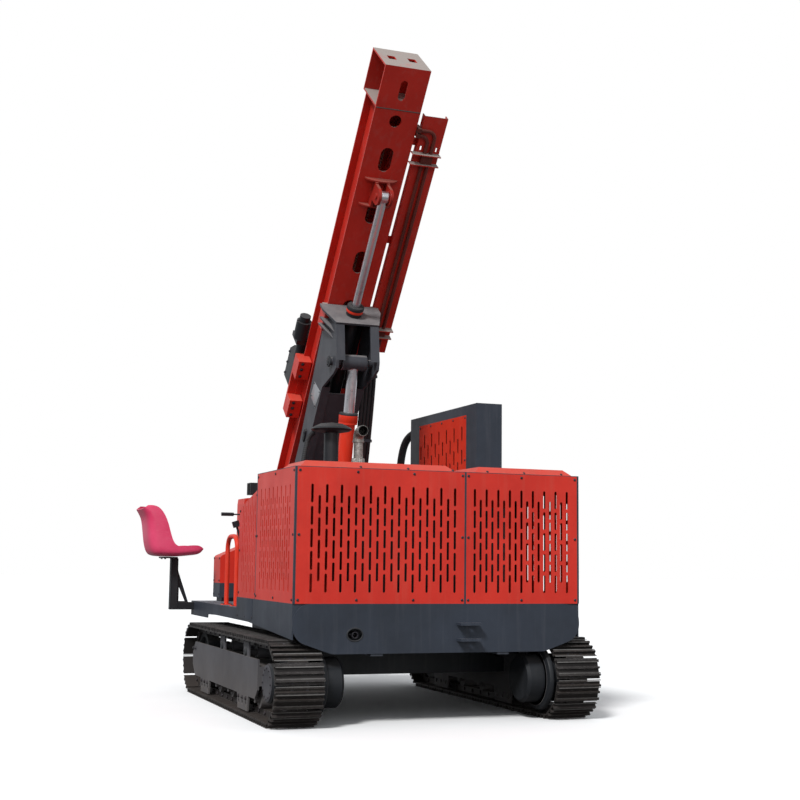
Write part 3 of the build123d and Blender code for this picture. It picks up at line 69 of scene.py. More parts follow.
def on_rig(points):
    """Metres in the frame = (millimetres on the rig - middle) / 1000."""
    return (np.asarray(points, float) - MIDDLE) / 1000


def along_axes(points, start, forward, along):
    """Metres = start + first number across + second forward + third along, all in millimetres."""
    x, y, s = np.moveaxis(np.asarray(points, float), -1, 0)[..., None]
    return on_rig(start + x * ACROSS + y * forward + s * along)


def on_mast(points):
    """A place on the mast: across, forward out of its rear face, and along it."""
    return along_axes(points, MAST_START, MAST_FORWARD, MAST_ALONG)


def on_lift(points):
    """A place on the lift cylinder, measured from its lower pin."""
    return along_axes(points, LIFT_START, LIFT_FORWARD, LIFT_ALONG)


print("mast head at", np.round(on_mast([0, 0, 2650]), 3))

# %% [markdown]
# The photograph was taken from behind the rig's left corner at about chest height, looking a
# little up. The focal length and the place come from its vanishing points. The camera's axes are
# built from the two angles, and the small roll turns them about the line of sight.

# %% Camera
TURN = np.radians(20.85)
TILT = np.radians(6.95)
ROLL = np.radians(0.695)
EYE_PLACE = (-3.113, -9.714, 1.046)
LENS_MM, SENSOR_MM = 58.95, 36.0

scene = bpy.context.scene
sight = np.array([np.sin(TURN) * np.cos(TILT), np.cos(TURN) * np.cos(TILT), np.sin(TILT)])
level = np.array([np.cos(TURN), -np.sin(TURN), 0.0])
above = np.cross(level, sight)
lens = bpy.data.cameras.new("camera")
lens.sensor_width = SENSOR_MM
lens.lens = LENS_MM
lens.clip_end = 200.0
camera = bpy.data.objects.new("camera", lens)
place = np.eye(4)
place[:3, 0] = np.cos(ROLL) * level + np.sin(ROLL) * above
place[:3, 1] = np.cos(ROLL) * above - np.sin(ROLL) * level
place[:3, 2] = -sight
place[:3, 3] = EYE_PLACE
camera.matrix_world = Matrix(place.tolist())
scene.collection.objects.link(camera)
scene.camera = camera
print("camera at", EYE_PLACE)

# %% [markdown]
# Meshes are surfaces worked out with numpy. A grid of points becomes a mesh of four-sided faces,
# a profile turned about an axis becomes a bolt or a cap, and a circle carried along a line becomes
# a pipe. Whole arrays are computed at once, and bmesh then closes the poles and turns every face out.

# %% Mesh helpers
MERGE = 0.00002
materials = {}


def add_piece(name, shape, material, body="chassis", smooth=40):
    """Puts points in metres and faces into a mesh that rides on a body, its doubles merged."""
    points, faces = shape
    mesh = bpy.data.meshes.new(name)
    mesh.from_pydata(np.asarray(points).reshape(-1, 3).tolist(), [], [list(f) for f in faces])
    work = bmesh.new()
    work.from_mesh(mesh)
    bmesh.ops.remove_doubles(work, verts=work.verts, dist=MERGE)
    bmesh.ops.recalc_face_normals(work, faces=work.faces)
    work.to_mesh(mesh)
    work.free()
    mesh.materials.append(materials[material])
    piece = bpy.data.objects.new(name, mesh)
    scene.collection.objects.link(piece)
    if smooth:
        mesh.shade_smooth()
        mesh.set_sharp_from_angle(angle=np.radians(smooth))
    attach(piece, body)
    return piece


def grid_faces(rows, columns, around=True):
    """Faces of a grid of points, its columns joined round where the surface is closed."""
    row, column = np.meshgrid(np.arange(rows - 1), np.arange(columns - (not around)), indexing="ij")
    step = (column + 1) % columns
    corners = (row * columns + column, row * columns + step)
    corners += ((row + 1) * columns + step, (row + 1) * columns + column)
    return np.stack(corners, -1).reshape(-1, 4)


def turned(profile, sides):
    """A profile of radius and height turned about Z: x = r cos a, y = r sin a, z = h."""
    radius, height = np.asarray(profile, float).T
    angle = np.arange(sides) * 2 * np.pi / sides
    ring = np.stack([np.cos(angle), np.sin(angle), 0 * angle], -1)
    points = radius[:, None, None] * ring + height[:, None, None] * UP
    return points.reshape(-1, 3), grid_faces(len(radius), sides)


def rounded_box(width, depth, height, chamfer):
    """An upright box on its base, its four uprights and its top edge cut at 45 degrees."""
    x, y, c = width / 2, depth / 2, chamfer
    signs = np.array([(1, 1), (-1, 1), (-1, -1), (1, -1)])
    far, near = np.array([x, y]), np.array([x - c, y - c])
    ring = []
    for sign, (first, second) in zip(signs, (((0, 1), (1, 0)), ((1, 0), (0, 1))) * 2):
        ring.append(sign * np.where(first, far, near))
        ring.append(sign * np.where(second, far, near))
    ring = np.array(ring)
    low = np.column_stack([ring, np.zeros(8)])
    high = np.column_stack([ring, np.full(8, height - c)])
    top = np.column_stack([ring * (1 - c / np.array([x, y])), np.full(8, height)])
    foot, crown = np.zeros((8, 3)), np.tile([0, 0, height], (8, 1))
    return np.concatenate([foot, low, high, top, crown]), grid_faces(5, 8)


def axes_towards(directions):
    """Three axes for each direction: two level ones and the direction itself as the third."""
    z_axis = np.asarray(directions, float)
    z_axis = z_axis / np.linalg.norm(z_axis, axis=-1, keepdims=True)
    helper = np.where(np.abs(z_axis[..., 2:]) > 0.9, ACROSS, UP)
    x_axis = np.cross(helper, z_axis)
    x_axis /= np.linalg.norm(x_axis, axis=-1, keepdims=True)
    return np.stack([x_axis, np.cross(z_axis, x_axis), z_axis], -1)


def placed(shape, places, axes):
    """Copies of a shape in millimetres: place + axes . point / 1000, for all the places at once."""
    points, faces = shape
    faces = np.asarray(faces)
    copies = places[:, None] + 0.001 * np.einsum("kij,nj->kni", axes, points)
    shifts = np.arange(len(places))[:, None, None] * len(points)
    return copies.reshape(-1, 3), (faces[None] + shifts).reshape(-1, faces.shape[1])


def repeated(shape, places, directions):
    """Copies of a shape whose own Z points along each direction."""
    places = np.asarray(places, float).reshape(-1, 3)
    return placed(shape, places, axes_towards(np.broadcast_to(directions, places.shape)))


def add_copies(name, shape, places, directions, material, body="chassis"):
    """Copies of one shape, such as bolts, added as one piece."""
    return add_piece(name, repeated(shape, places, directions), material, body)


def joined(*parts):
    """Several sets of points and faces put together as one."""
    shifts = np.cumsum([0] + [len(points) for points, faces in parts[:-1]])
    faces = [list(face) for (points, part), shift in zip(parts, shifts) for face in part + shift]
    return np.concatenate([points for points, part in parts]), faces


def rounded_line(points, steps=8):
    """A cubic B-spline with its ends held: each point is a weighted sum of four neighbours."""
    points = np.asarray(points, float)
    held = np.concatenate([points[:1]] * 2 + [points] + [points[-1:]] * 2)
    near = np.stack([held[i : len(held) - 3 + i] for i in range(4)], 1)
    t = np.linspace(0, 1, steps, endpoint=False)
    weights = np.stack([(1 - t) ** 3, 3 * t**3 - 6 * t**2 + 4, 1 + 3 * t + 3 * t**2 - 3 * t**3, t**3])
    curve = np.einsum("wt,nwc->ntc", weights / 6, near).reshape(-1, points.shape[1])
    return np.concatenate([curve, points[-1:]])


def tube(line, radius, sides=16, normal=(1, 0, 0)):
    """A circle carried along a line in one plane: centre + r (cos a * n + sin a * b), ends closed."""
    line = np.asarray(line, float)
    radius = np.broadcast_to(np.asarray(radius, float), len(line))
    tangent = np.gradient(line, axis=0)
    tangent /= np.linalg.norm(tangent, axis=1, keepdims=True)
    level = np.cross(tangent, np.broadcast_to(normal, line.shape))
    level /= np.linalg.norm(level, axis=1, keepdims=True)
    other = np.cross(tangent, level)
    angle = np.arange(sides) * 2 * np.pi / sides
    ring = np.cos(angle)[:, None, None] * level + np.sin(angle)[:, None, None] * other
    body = line[:, None] + radius[:, None, None] * ring.swapaxes(0, 1)
    caps = [np.broadcast_to(line[i], (1, sides, 3)) for i in (0, -1)]
    points = np.concatenate([caps[0], body, caps[1]])
    return points.reshape(-1, 3), grid_faces(len(line) + 2, sides)


def hollow_tube(line, radius, wall, sides):
    """A tube with a wall: the outer skin, then back along the inner one, closed at both rims."""
    outer, inner = (tube(line, size, sides)[0].reshape(-1, sides, 3)[1:-1]
                    for size in (radius, radius - wall))
    points = np.concatenate([outer, inner[::-1], outer[:1]])
    return points.reshape(-1, 3), grid_faces(len(points), sides)


def slab(corners, thickness, edge):
    """A flat plate with cut edges: its outline, then the outline drawn in by the edge, then capped."""
    corners = np.asarray(corners, float)
    middle = corners.mean(0)
    drawn = middle + (corners - middle) * (1 - edge / np.linalg.norm(corners - middle, axis=1))[:, None]
    centre = middle + 0 * corners
    levels = ((centre, 0), (corners, 0), (corners, thickness - edge / 2),
              (drawn, thickness), (centre, thickness))
    points = np.concatenate([np.insert(ring, 0, -height, axis=1) for ring, height in levels])
    return points, grid_faces(5, len(corners))


HEX_HEAD = [(0, 0), (1.45, 0), (1.45, 0.22), (1.0, 0.22), (1.0, 0.8), (0.85, 0.95), (0, 0.95)]
DOME_HEAD = [(0, 0), (1.0, 0), (1.0, 0.25), (0.72, 0.55), (0.3, 0.6), (0.28, 0.4), (0, 0.4)]


def bolt(radius, profile=HEX_HEAD, sides=6):
    """A bolt's head from a table of radius and height, both in parts of its own radius."""
    return turned(np.array(profile) * radius, sides)


print("helpers ready")

# %% [markdown]
# Effects that several finishes share are node groups. A small helper adds a node and fills its
# sockets, from a number, a colour or another node's output, so that each effect reads as a short list.

# %% Node helpers
def linear(code):
    """A colour written as hexadecimal, as linear light: ((c + 0.055) / 1.055) ** 2.4."""
    channels = np.array([int(code[i : i + 2], 16) for i in (1, 3, 5)]) / 255
    light = np.where(channels > 0.04045, ((channels + 0.055) / 1.055) ** 2.4, channels / 12.92)
    return (*light.tolist(), 1.0)


def fill(tree, node, values):
    """Fills a node's sockets, each by a value or by a link from another node's output."""
    for key, value in values.items():
        if isinstance(value, bpy.types.NodeSocket):
            tree.links.new(value, node.inputs[key])
        else:
            node.inputs[key].default_value = value


def add_node(tree, kind, values=None, **settings):
    """A shader node with its settings, and its sockets filled."""
    node = tree.nodes.new("ShaderNode" + kind)
    for key, setting in settings.items():
        setattr(node, key, setting)
    fill(tree, node, values or {})
    return node


def object_place(tree):
    """The point that is shaded, in the object's own coordinates, which are the frame's."""
    return add_node(tree, "TexCoord").outputs["Object"]


def calc(tree, operation, *values):
    """One step of arithmetic on numbers or sockets."""
    return add_node(tree, "Math", dict(enumerate(values)), operation=operation).outputs[0]


def mixed(tree, share, first, second):
    """A colour between two others."""
    values = {"Factor": share, 6: first, 7: second}
    return add_node(tree, "Mix", values, data_type="RGBA").outputs[2]


def ramp(tree, value, low, high, start=0.0, end=1.0):
    """A number moved from one range to another and held inside it."""
    values = {0: value, 1: low, 2: high, 3: start, 4: end}
    return add_node(tree, "MapRange", values).outputs[0]


def noise(tree, place, size, detail=3.0, rough=0.5):
    """Cloudy numbers from 0 to 1 with a given number of lumps in a metre."""
    values = {"Vector": place, "Scale": size, "Detail": detail, "Roughness": rough}
    return add_node(tree, "TexNoise", values).outputs[0]


def new_group(name, inputs, outputs):
    """An empty shader group with named numbers going in and coming out."""
    tree = bpy.data.node_groups.new(name, "ShaderNodeTree")
    for label, value in inputs.items():
        socket = tree.interface.new_socket(label, in_out="INPUT", socket_type="NodeSocketFloat")
        socket.default_value = value
    for label in outputs:
        tree.interface.new_socket(label, in_out="OUTPUT", socket_type="NodeSocketFloat")
    return tree, tree.nodes.new("NodeGroupInput").outputs, tree.nodes.new("NodeGroupOutput").inputs


def use_group(tree, name, **values):
    """A group placed in a material, its inputs set by name."""
    return add_node(tree, "Group", values, node_tree=bpy.data.node_groups[name]).outputs


def new_material(name):
    """A new material's tree and its shader."""
    material = materials[name] = bpy.data.materials.new(name)
    material.use_nodes = True
    return material.node_tree, material.node_tree.nodes["Principled BSDF"]


def dress(tree, shader, colour, rough, height, depth, strength=0.4):
    """Links the colour, the roughness and a bump of a given depth in metres."""
    bump = add_node(tree, "Bump", {"Height": height, "Strength": strength, "Distance": depth})
    fill(tree, shader, {"Base Color": colour, "Roughness": rough, "Normal": bump.outputs[0]})


print("node helpers ready")

# %% [markdown]
# Soft daylight: a pale world fills the shadows, one wide sun from the left and above gives the form,
# and a weaker, wider lamp behind the camera lifts the faces that look at it. The camera itself sees
# plain white, so the world that lights the rig can stay dimmer than the background.

# %% World and light
SKY_COLOUR = (0.94, 0.97, 1.0, 1.0)
SKY_STRENGTH = 0.6
# name, the way it shines, strength, width in degrees
LAMPS = (
    ("sun", (0.5, 0.52, -0.68), 2.7, 12),
    ("rear_fill", (0.15, 0.9, 0.3), 0.9, 60),
)

scene.view_settings.view_transform = "Standard"
scene.world = bpy.data.worlds.new("studio")
scene.world.use_nodes = True
sky = scene.world.node_tree
sky.nodes.clear()
dim = add_node(sky, "Background", {"Color": SKY_COLOUR, "Strength": SKY_STRENGTH})
white = add_node(sky, "Background", {"Color": (1.0, 1.0, 1.0, 1.0)})
seen = add_node(sky, "LightPath").outputs["Is Camera Ray"]
either = add_node(sky, "MixShader", {0: seen, 1: dim.outputs[0], 2: white.outputs[0]})
add_node(sky, "OutputWorld", {0: either.outputs[0]})
for name, way, strength, width in LAMPS:
    lamp = bpy.data.lights.new(name, "SUN")
    lamp.energy = strength
    lamp.angle = np.radians(width)
    holder = bpy.data.objects.new(name, lamp)
    turn = np.eye(4)
    turn[:3, :3] = axes_towards(-np.array(way))
    holder.matrix_world = Matrix(turn.tolist())
    scene.collection.objects.link(holder)
print("lamps", len(LAMPS))

# %% [markdown]
# Paint wears first where plates are bent or cut. Blender's bevel node gives the normal that a
# rounded edge would have; where it differs from the true one there is an edge, and noise breaks
# that line into chips.

# %% Edge wear
tree, given, result = new_group("edge_wear", {"Width": 0.004, "Amount": 0.5, "Lumps": 40.0}, ["Mask"])
rounded = add_node(tree, "Bevel", {"Radius": given["Width"]}, samples=4)
facing = add_node(tree, "NewGeometry")
alike = add_node(tree, "VectorMath", {0: rounded.outputs[0], 1: facing.outputs["Normal"]},
                 operation="DOT_PRODUCT")
edge = ramp(tree, calc(tree, "SUBTRACT", 1.0, alike.outputs["Value"]), 0.015, 0.2)
where = object_place(tree)
chips = ramp(tree, noise(tree, where, given["Lumps"], 4.0, 0.65), 0.42, 0.6)
tree.links.new(calc(tree, "MULTIPLY", calc(tree, "MULTIPLY", edge, chips), given["Amount"]),
               result["Mask"])
print("group", tree.name)

# %% [markdown]
# Dust settles on what faces up, and mud is thrown low over what stands near the ground. The first
# mask follows the normal, the second the height, and both are broken up by noise. On the mast the
# first mask also paints the sky's reflection on the head's top plate.

# %% Dust, and painted sky reflection on the mast
tree, given, result = new_group("dust", {"Top": 0.5, "Low": 0.4, "Height": 0.5}, ["Mask"])
facing = add_node(tree, "NewGeometry")
upward = add_node(tree, "SeparateXYZ", {0: facing.outputs["Normal"]}).outputs[2]
where = object_place(tree)
height = add_node(tree, "SeparateXYZ", {0: where}).outputs[2]
cloud = noise(tree, where, 9.0, 6.0, 0.65)
on_top = calc(tree, "MULTIPLY", ramp(tree, upward, 0.6, 0.78), given["Top"])
below = ramp(tree, calc(tree, "DIVIDE", height, given["Height"]), 1.0, 0.1)
below = calc(tree, "MULTIPLY", below, given["Low"])
both = calc(tree, "ADD", on_top, below)
broken = calc(tree, "MULTIPLY", both, ramp(tree, cloud, 0.3, 0.62, 0.55, 1.0))
tree.links.new(calc(tree, "MINIMUM", broken, 0.96), result["Mask"])
print("group", tree.name)

# %% [markdown]
# No painted plate is one flat colour: sheets are sprayed unevenly, rubbed and rained on. Wide
# clouds change the tone, tall thin ones make runs, and a fine grain makes the skin of the paint.

# %% Uneven paint
tree, given, result = new_group("uneven", {"Lumps": 3.0, "Grain": 260.0}, ["Tone", "Runs", "Height"])
where = object_place(tree)
tall = add_node(tree, "Mapping", {"Vector": where, "Scale": (1.0, 1.0, 0.07)}).outputs[0]
wide = noise(tree, where, given["Lumps"], 5.0, 0.6)
runs = noise(tree, tall, 22.0, 4.0, 0.6)
grain = noise(tree, where, given["Grain"], 2.0, 0.5)
tree.links.new(ramp(tree, wide, 0.3, 0.7), result["Tone"])
tree.links.new(ramp(tree, runs, 0.52, 0.75), result["Runs"])
tree.links.new(calc(tree, "ADD", calc(tree, "MULTIPLY", wide, 0.8), calc(tree, "MULTIPLY", grain, 0.2)),
               result["Height"])
print("group", tree.name)

# %% [markdown]
# Each finish is a row: its colour in light and in shade, what shows where it is worn, the dust that
# lies on it, which on the mast also paints the sky's reflection on top, and how it shines. One function
# turns a row into a material, with the shader itself and its constants in the material and only the masks
# from the groups.

# %% Finishes
COAT_ROUGH, PAINT_GLOSS = 0.25, 0.28
# name, colour, darker colour, worn colour, dust colour, roughness, metal, coat, wear, top dust, low dust;
# on the mast the top dust also paints the sky's reflection
FINISHES = (
    ("red_paint", "#D93527", "#C62C20", "#E2563F", "#A07F6C", 0.42, 0.0, 0.12, 0.5, 0.22, 0.0),
    # mast_red: its strong pale-grey top dust is dust, and on the head's top plate a painted sky reflection
    ("mast_red", "#D03024", "#BE281C", "#E8664A", "#98928C", 0.46, 0.0, 0.1, 0.7, 1.4, 0.0),
    ("dark_red", "#A82A20", "#8E1F18", "#C8513C", "#7A6A60", 0.5, 0.0, 0.05, 0.5, 0.5, 0.0),
    ("orange_paint", "#E23A22", "#D2311C", "#EE6A4A", "#A07F6C", 0.38, 0.0, 0.15, 0.4, 0.15, 0.0),
    ("blue_grey", "#363C47", "#2D323B", "#5A606C", "#77747A", 0.5, 0.0, 0.1, 0.45, 0.25, 0.0),
    ("deck_grey", "#4A4E57", "#3C4048", "#777A80", "#8E8F93", 0.6, 0.0, 0.0, 0.6, 0.7, 0.0),
    ("cradle_grey", "#484A50", "#3B3C42", "#77787D", "#8A8584", 0.5, 0.0, 0.1, 0.5, 0.75, 0.0),
    ("frame_grey", "#57575C", "#47474C", "#7B7A7C", "#6E665F", 0.62, 0.0, 0.0, 0.5, 0.5, 0.5),
    ("dark_grey", "#333539", "#27292C", "#55575C", "#5E5954", 0.55, 0.0, 0.0, 0.4, 0.4, 0.3),
    ("black_paint", "#26282C", "#1B1D20", "#4A4C50", "#625E5C", 0.45, 0.0, 0.1, 0.4, 0.3, 0.0),
    ("track_steel", "#403D3D", "#2D2B2B", "#8E8B88", "#524943", 0.5, 0.5, 0.0, 0.9, 0.35, 0.3),
    ("bolt_steel", "#46444A", "#343238", "#8D8C90", "#6A5A50", 0.42, 0.75, 0.0, 0.6, 0.3, 0.2),
    ("chain_steel", "#A65A4A", "#7E4438", "#C08A78", "#6E5A50", 0.5, 0.2, 0.0, 0.5, 0.3, 0.0),
    ("plate_metal", "#B9BBBE", "#9FA1A5", "#D0D2D4", "#A9A39D", 0.35, 0.6, 0.0, 0.3, 0.2, 0.0),
    ("plate_metal_dull", "#6A6460", "#55504D", "#8A8580", "#7A736E", 0.5, 0.4, 0.0, 0.3, 0.3, 0.0),
    ("cover_grey", "#4E4E54", "#424248", "#74747A", "#6E665F", 0.5, 0.2, 0.0, 0.5, 0.4, 0.2),
    # slot_black: painted shade on the shoes' slot patches, soot in the exhaust's mouth, and the blank
    # screen's own black
    ("slot_black", "#0C0B0B", "#060606", "#1C1A19", "#3A302A", 0.7, 0.0, 0.0, 0.2, 0.1, 0.1),
    ("cooler_red", "#DC3418", "#CB2A12", "#EE6A4A", "#A07F6C", 0.8, 0.0, 0.0, 0.4, 0.15, 0.0),
    ("crest_steel", "#8C8A88", "#5C5957", "#A8A6A4", "#4E4844", 0.42, 0.6, 0.0, 0.6, 0.3, 0.3),
    ("pipe_brown", "#7A3A32", "#5F2D28", "#A0685A", "#77645C", 0.45, 0.2, 0.0, 0.4, 0.5, 0.0),
)


def finish(name, colour, shade, worn, dirt, rough, metal, coat, wear, top, low):
    """Paint from outside in: dust (on the mast also painted sky reflection) over worn edges over runs over
    an uneven coat.
    """
    tree, shader = new_material(name)
    uneven = use_group(tree, "uneven")
    wear_mask = use_group(tree, "edge_wear", Amount=wear)["Mask"]
    dust_and_sky_sheen_mask = use_group(tree, "dust", Top=top, Low=low)["Mask"]
    paint = mixed(tree, uneven["Tone"], linear(shade), linear(colour))
    paint = mixed(tree, calc(tree, "MULTIPLY", uneven["Runs"], 0.1), paint, linear(dirt))
    paint = mixed(tree, wear_mask, paint, linear(worn))
    # Dust colour over the mask; with the mast's row this also paints the sky's reflection on up-facing
    # faces
    paint = mixed(tree, dust_and_sky_sheen_mask, paint, linear(dirt))
    skin = calc(tree, "ADD", ramp(tree, uneven["Tone"], 0, 1, rough + 0.06, rough - 0.06),
                calc(tree, "MULTIPLY", dust_and_sky_sheen_mask, 0.35))
    dress(tree, shader, paint, skin, uneven["Height"], 0.002, 0.25)
    fill(tree, shader, {"Metallic": metal, "Coat Weight": coat, "Coat Roughness": COAT_ROUGH,
                        "Specular IOR Level": PAINT_GLOSS})


for row in FINISHES:
    finish(*row)
print("paints", len(materials))

# %% [markdown]
# Four finishes behave in their own way. Hard chrome on the rods mirrors the sky, with a faint film
# and fine scratches. Zinc on the exhaust shows large flat crystals. Rubber is matt and greys on top.
# The moulded seat is glossy plastic with a fine orange-peel skin, scuffed paler where people slide.

# %% Chrome, zinc, rubber and plastic
tree, shader = new_material("chrome")
where = object_place(tree)
film = noise(tree, where, 26.0, 4.0, 0.6)
scratches = noise(tree, where, 300.0, 3.0, 0.6)
shader.inputs["Metallic"].default_value = 1.0
dress(tree, shader, mixed(tree, film, linear("#DAD8DE"), linear("#F4F2F6")),
      ramp(tree, film, 0.3, 0.7, 0.26, 0.38), scratches, 0.00005)
rounding = add_node(tree, "Bevel", {"Radius": 0.02}, samples=8)
tree.links.new(rounding.outputs[0], tree.nodes["Bump"].inputs["Normal"])

tree, shader = new_material("zinc")
where = object_place(tree)
cells = add_node(tree, "TexVoronoi", {"Vector": where, "Scale": 160.0})
tone = add_node(tree, "SeparateColor", {0: cells.outputs["Color"]}).outputs[0]
dirt = ramp(tree, noise(tree, where, 14.0, 5.0, 0.7), 0.45, 0.7)
zinc = mixed(tree, tone, linear("#85847F"), linear("#B4B3AE"))
shader.inputs["Metallic"].default_value = 0.75
dress(tree, shader, mixed(tree, calc(tree, "MULTIPLY", dirt, 0.6), zinc, linear("#5C4A40")),
      ramp(tree, tone, 0, 1, 0.32, 0.5), tone, 0.0003)

tree, shader = new_material("rubber")
where = object_place(tree)
fine = noise(tree, where, 220.0, 3.0)
clouds = noise(tree, where, 7.0, 5.0, 0.6)
top = use_group(tree, "dust", Top=0.5, Low=0.0)["Mask"]
rubber = mixed(tree, clouds, linear("#1B1C1E"), linear("#2C2D30"))
dress(tree, shader, mixed(tree, top, rubber, linear("#5A5856")),
      ramp(tree, clouds, 0.3, 0.7, 0.55, 0.75), fine, 0.0005)

tree, shader = new_material("seat_plastic")
where = object_place(tree)
peel = noise(tree, where, 420.0, 2.0)
faded = ramp(tree, noise(tree, where, 5.0, 4.0, 0.6), 0.35, 0.65)
narrow = add_node(tree, "Mapping", {"Vector": where, "Scale": (1.0, 9.0, 9.0)}).outputs[0]
scuffs = ramp(tree, noise(tree, narrow, 9.0, 5.0, 0.7), 0.58, 0.72)
pink = mixed(tree, faded, linear("#DC3C66"), linear("#E84C74"))
pink = mixed(tree, calc(tree, "MULTIPLY", scuffs, 0.25), pink, linear("#E38AA0"))
shader.inputs["Coat Weight"].default_value = 0.1
shader.inputs["Coat Roughness"].default_value = 0.2
dress(tree, shader, pink, ramp(tree, faded, 0, 1, 0.3, 0.42), peel, 0.0002)
print("materials", len(materials))

# %% [markdown]
# The solids that already have the right shape keep it and only change their finish. The table says
# which finish each of them gets: the painted plates, the blue-grey frame, the grey running gear and
# the bare steel.

# %% Finishes of the solids
NODE_FINISHES = {
    "red_paint": "rear_panel_left rear_panel_right left_side_panel right_side_panel bay_wall "
    "roof_cover_left roof_cover_right valve_cabinet control_console head_carriage",
    "mast_red": "mast_beam mast_head hose_tray mast_foot cradle_claws",
    "orange_paint": "grab_handle lift_barrel",
    "cooler_red": "cooler_panel",
    "dark_red": "rod_clevis",
    "blue_grey": "skirt rear_lugs housing_frame console_base cooler_frame roof_plate",
    "deck_grey": "deck",
    "cradle_grey": "cradle pivot_bracket lift_lugs",
    "frame_grey": "left_track_frame right_track_frame left_rollers right_rollers",
    "dark_grey": "left_idler right_idler",
    "black_paint": "cross_frame slide_barrel left_final_drive right_final_drive engine_block "
    "console_display control_levers seat_post air_intake rotary_head head_motors",
    "track_steel": "left_track right_track chain_wheels",
    "chain_steel": "feed_chain",
    "chrome": "slide_rod lift_rod",
    "rubber": "cooler_hoses intake_hose",
    "zinc": "exhaust spindle",
    "pipe_brown": "tray_pipes",
    "seat_plastic": "seat_shell",
}
for finish_name, names in NODE_FINISHES.items():
    for name in names.split():
        for slot in bpy.data.objects[name].material_slots:
            slot.material = materials[finish_name]

# %% [markdown]
# The housing is sheet steel on a frame, and every sheet is held by button-head screws with dark
# washers near its corners and middle. The table lists where they are: the face that they sit on,
# the way it faces, and their places on it. A head is a short profile turned about its axis.

# %% Screws in the sheet-metal
BUTTON = bolt(9.0, DOME_HEAD, 12)


def face(node, axis, side):
    """The place of a node's outer face on the rig: its lowest (0) or highest (1) corner."""
    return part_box(node)[side][axis] * 1000 + MIDDLE[axis]


def spread(firsts, seconds):
    """All the pairs of two short lists."""
    return [(a, b) for a in firsts for b in seconds]


ROW_ENDS = (790, 1598)
side_rows = spread((30, 465, 900), ROW_ENDS) + [(30, 1195), (900, 1195)]
cooler_rows = spread(range(1420, 2370, 235), (820, 2150)) + spread((1420, 2360), (1150, 1485, 1820))
# ending of the name, node, axis across the face, side, places as the two other coordinates
SCREWS = (
    ("rear_left", "rear_panel_left", 1, 0,
     spread((-970, -585, -200, 142), ROW_ENDS) + [(-970, 1195), (142, 1195)]),
    ("rear_right", "rear_panel_right", 1, 0,
     spread((184, 570, 970), ROW_ENDS) + [(184, 1195), (970, 1195)]),
    ("left", "left_side_panel", 0, 0, side_rows),
    ("right", "right_side_panel", 0, 1, side_rows),
    ("cabinet", "valve_cabinet", 0, 0,
     [(955, 1480), (955, 1195), (955, 800), (1415, 1380), (1415, 1100), (1415, 800)]),
    ("cooler", "cooler_panel", 0, 0, cooler_rows),
    ("skirt", "skirt", 0, 0, spread((990, 1190, 1400), (640,))),
    ("console", "control_console", 0, 0, spread((2740, 2930), (750, 860, 1040))),
)
for name, node, axis, side, rows in SCREWS:
    places = np.insert(np.array(rows, float), axis, face(node, axis, side), axis=1)
    outward = np.zeros(3)
    outward[axis] = 2 * side - 1
    add_copies("screws_" + name, BUTTON, on_rig(places), outward, "bolt_steel")
roof_rows = [(x, 24, 1632) for x in (-560, -235, 80, 330, 600, 880)]
add_copies("screws_roof", BUTTON, on_rig(roof_rows), (0, -0.62, 0.78), "bolt_steel")
print("screws", sum(len(rows) for *rest, rows in SCREWS) + len(roof_rows))

# %% [markdown]
# A plain cover plate closes the skirt's side above its lower edge. It is a thin slab that lies on
# the skirt's outer face, with its edge cut so that it catches a line of light.

# %% Cover on the skirt
SKIRT_COVER = ((985, 622), (1415, 622), (1415, 764), (985, 764))
cover_points, cover_faces = slab(SKIRT_COVER, 2.5, 1.0)
cover_shape = (on_rig(cover_points + [face("skirt", 0, 0), 0, 0]), cover_faces)
add_piece("skirt_cover", cover_shape, "blue_grey")
print("cover at x", round(face("skirt", 0, 0)))

# %% [markdown]
# The slotted sheets are cut by laser: tall slots with round ends, in columns that have one slot
# more and one slot less by turns. A sheet is laid out as a grid whose lines pass between the slots
# and through their middles, so that neighbouring cells share all their corners. Each slot's cell is
# two C-shaped faces round a stadium; the rest is plain quads, and walls close the slots and the rim.

# %% Slotted sheets
SLOT_LONG = 118.0
CORNERS, CELL = 8, 26


def slot_cell(pitch, step, wide):
    """Eight corners of a cell, then its slot: r cos q and s + r sin q at each round end."""
    x, z, r = pitch / 2, step / 2, wide / 2
    corners = [(0, z), (-x, z), (-x, 0), (-x, -z), (0, -z), (x, -z), (x, 0), (x, z)]
    q = np.linspace(0, np.pi / 2, 5)
    s = SLOT_LONG / 2 - r
    low = np.stack([-r * np.sin(q), -s - r * np.cos(q)], -1)
    high = np.stack([-r * np.cos(q), s + r * np.sin(q)], -1)
    left = np.concatenate([low, high])
    return np.concatenate([corners, left, left[8:0:-1] * [-1, 1]])


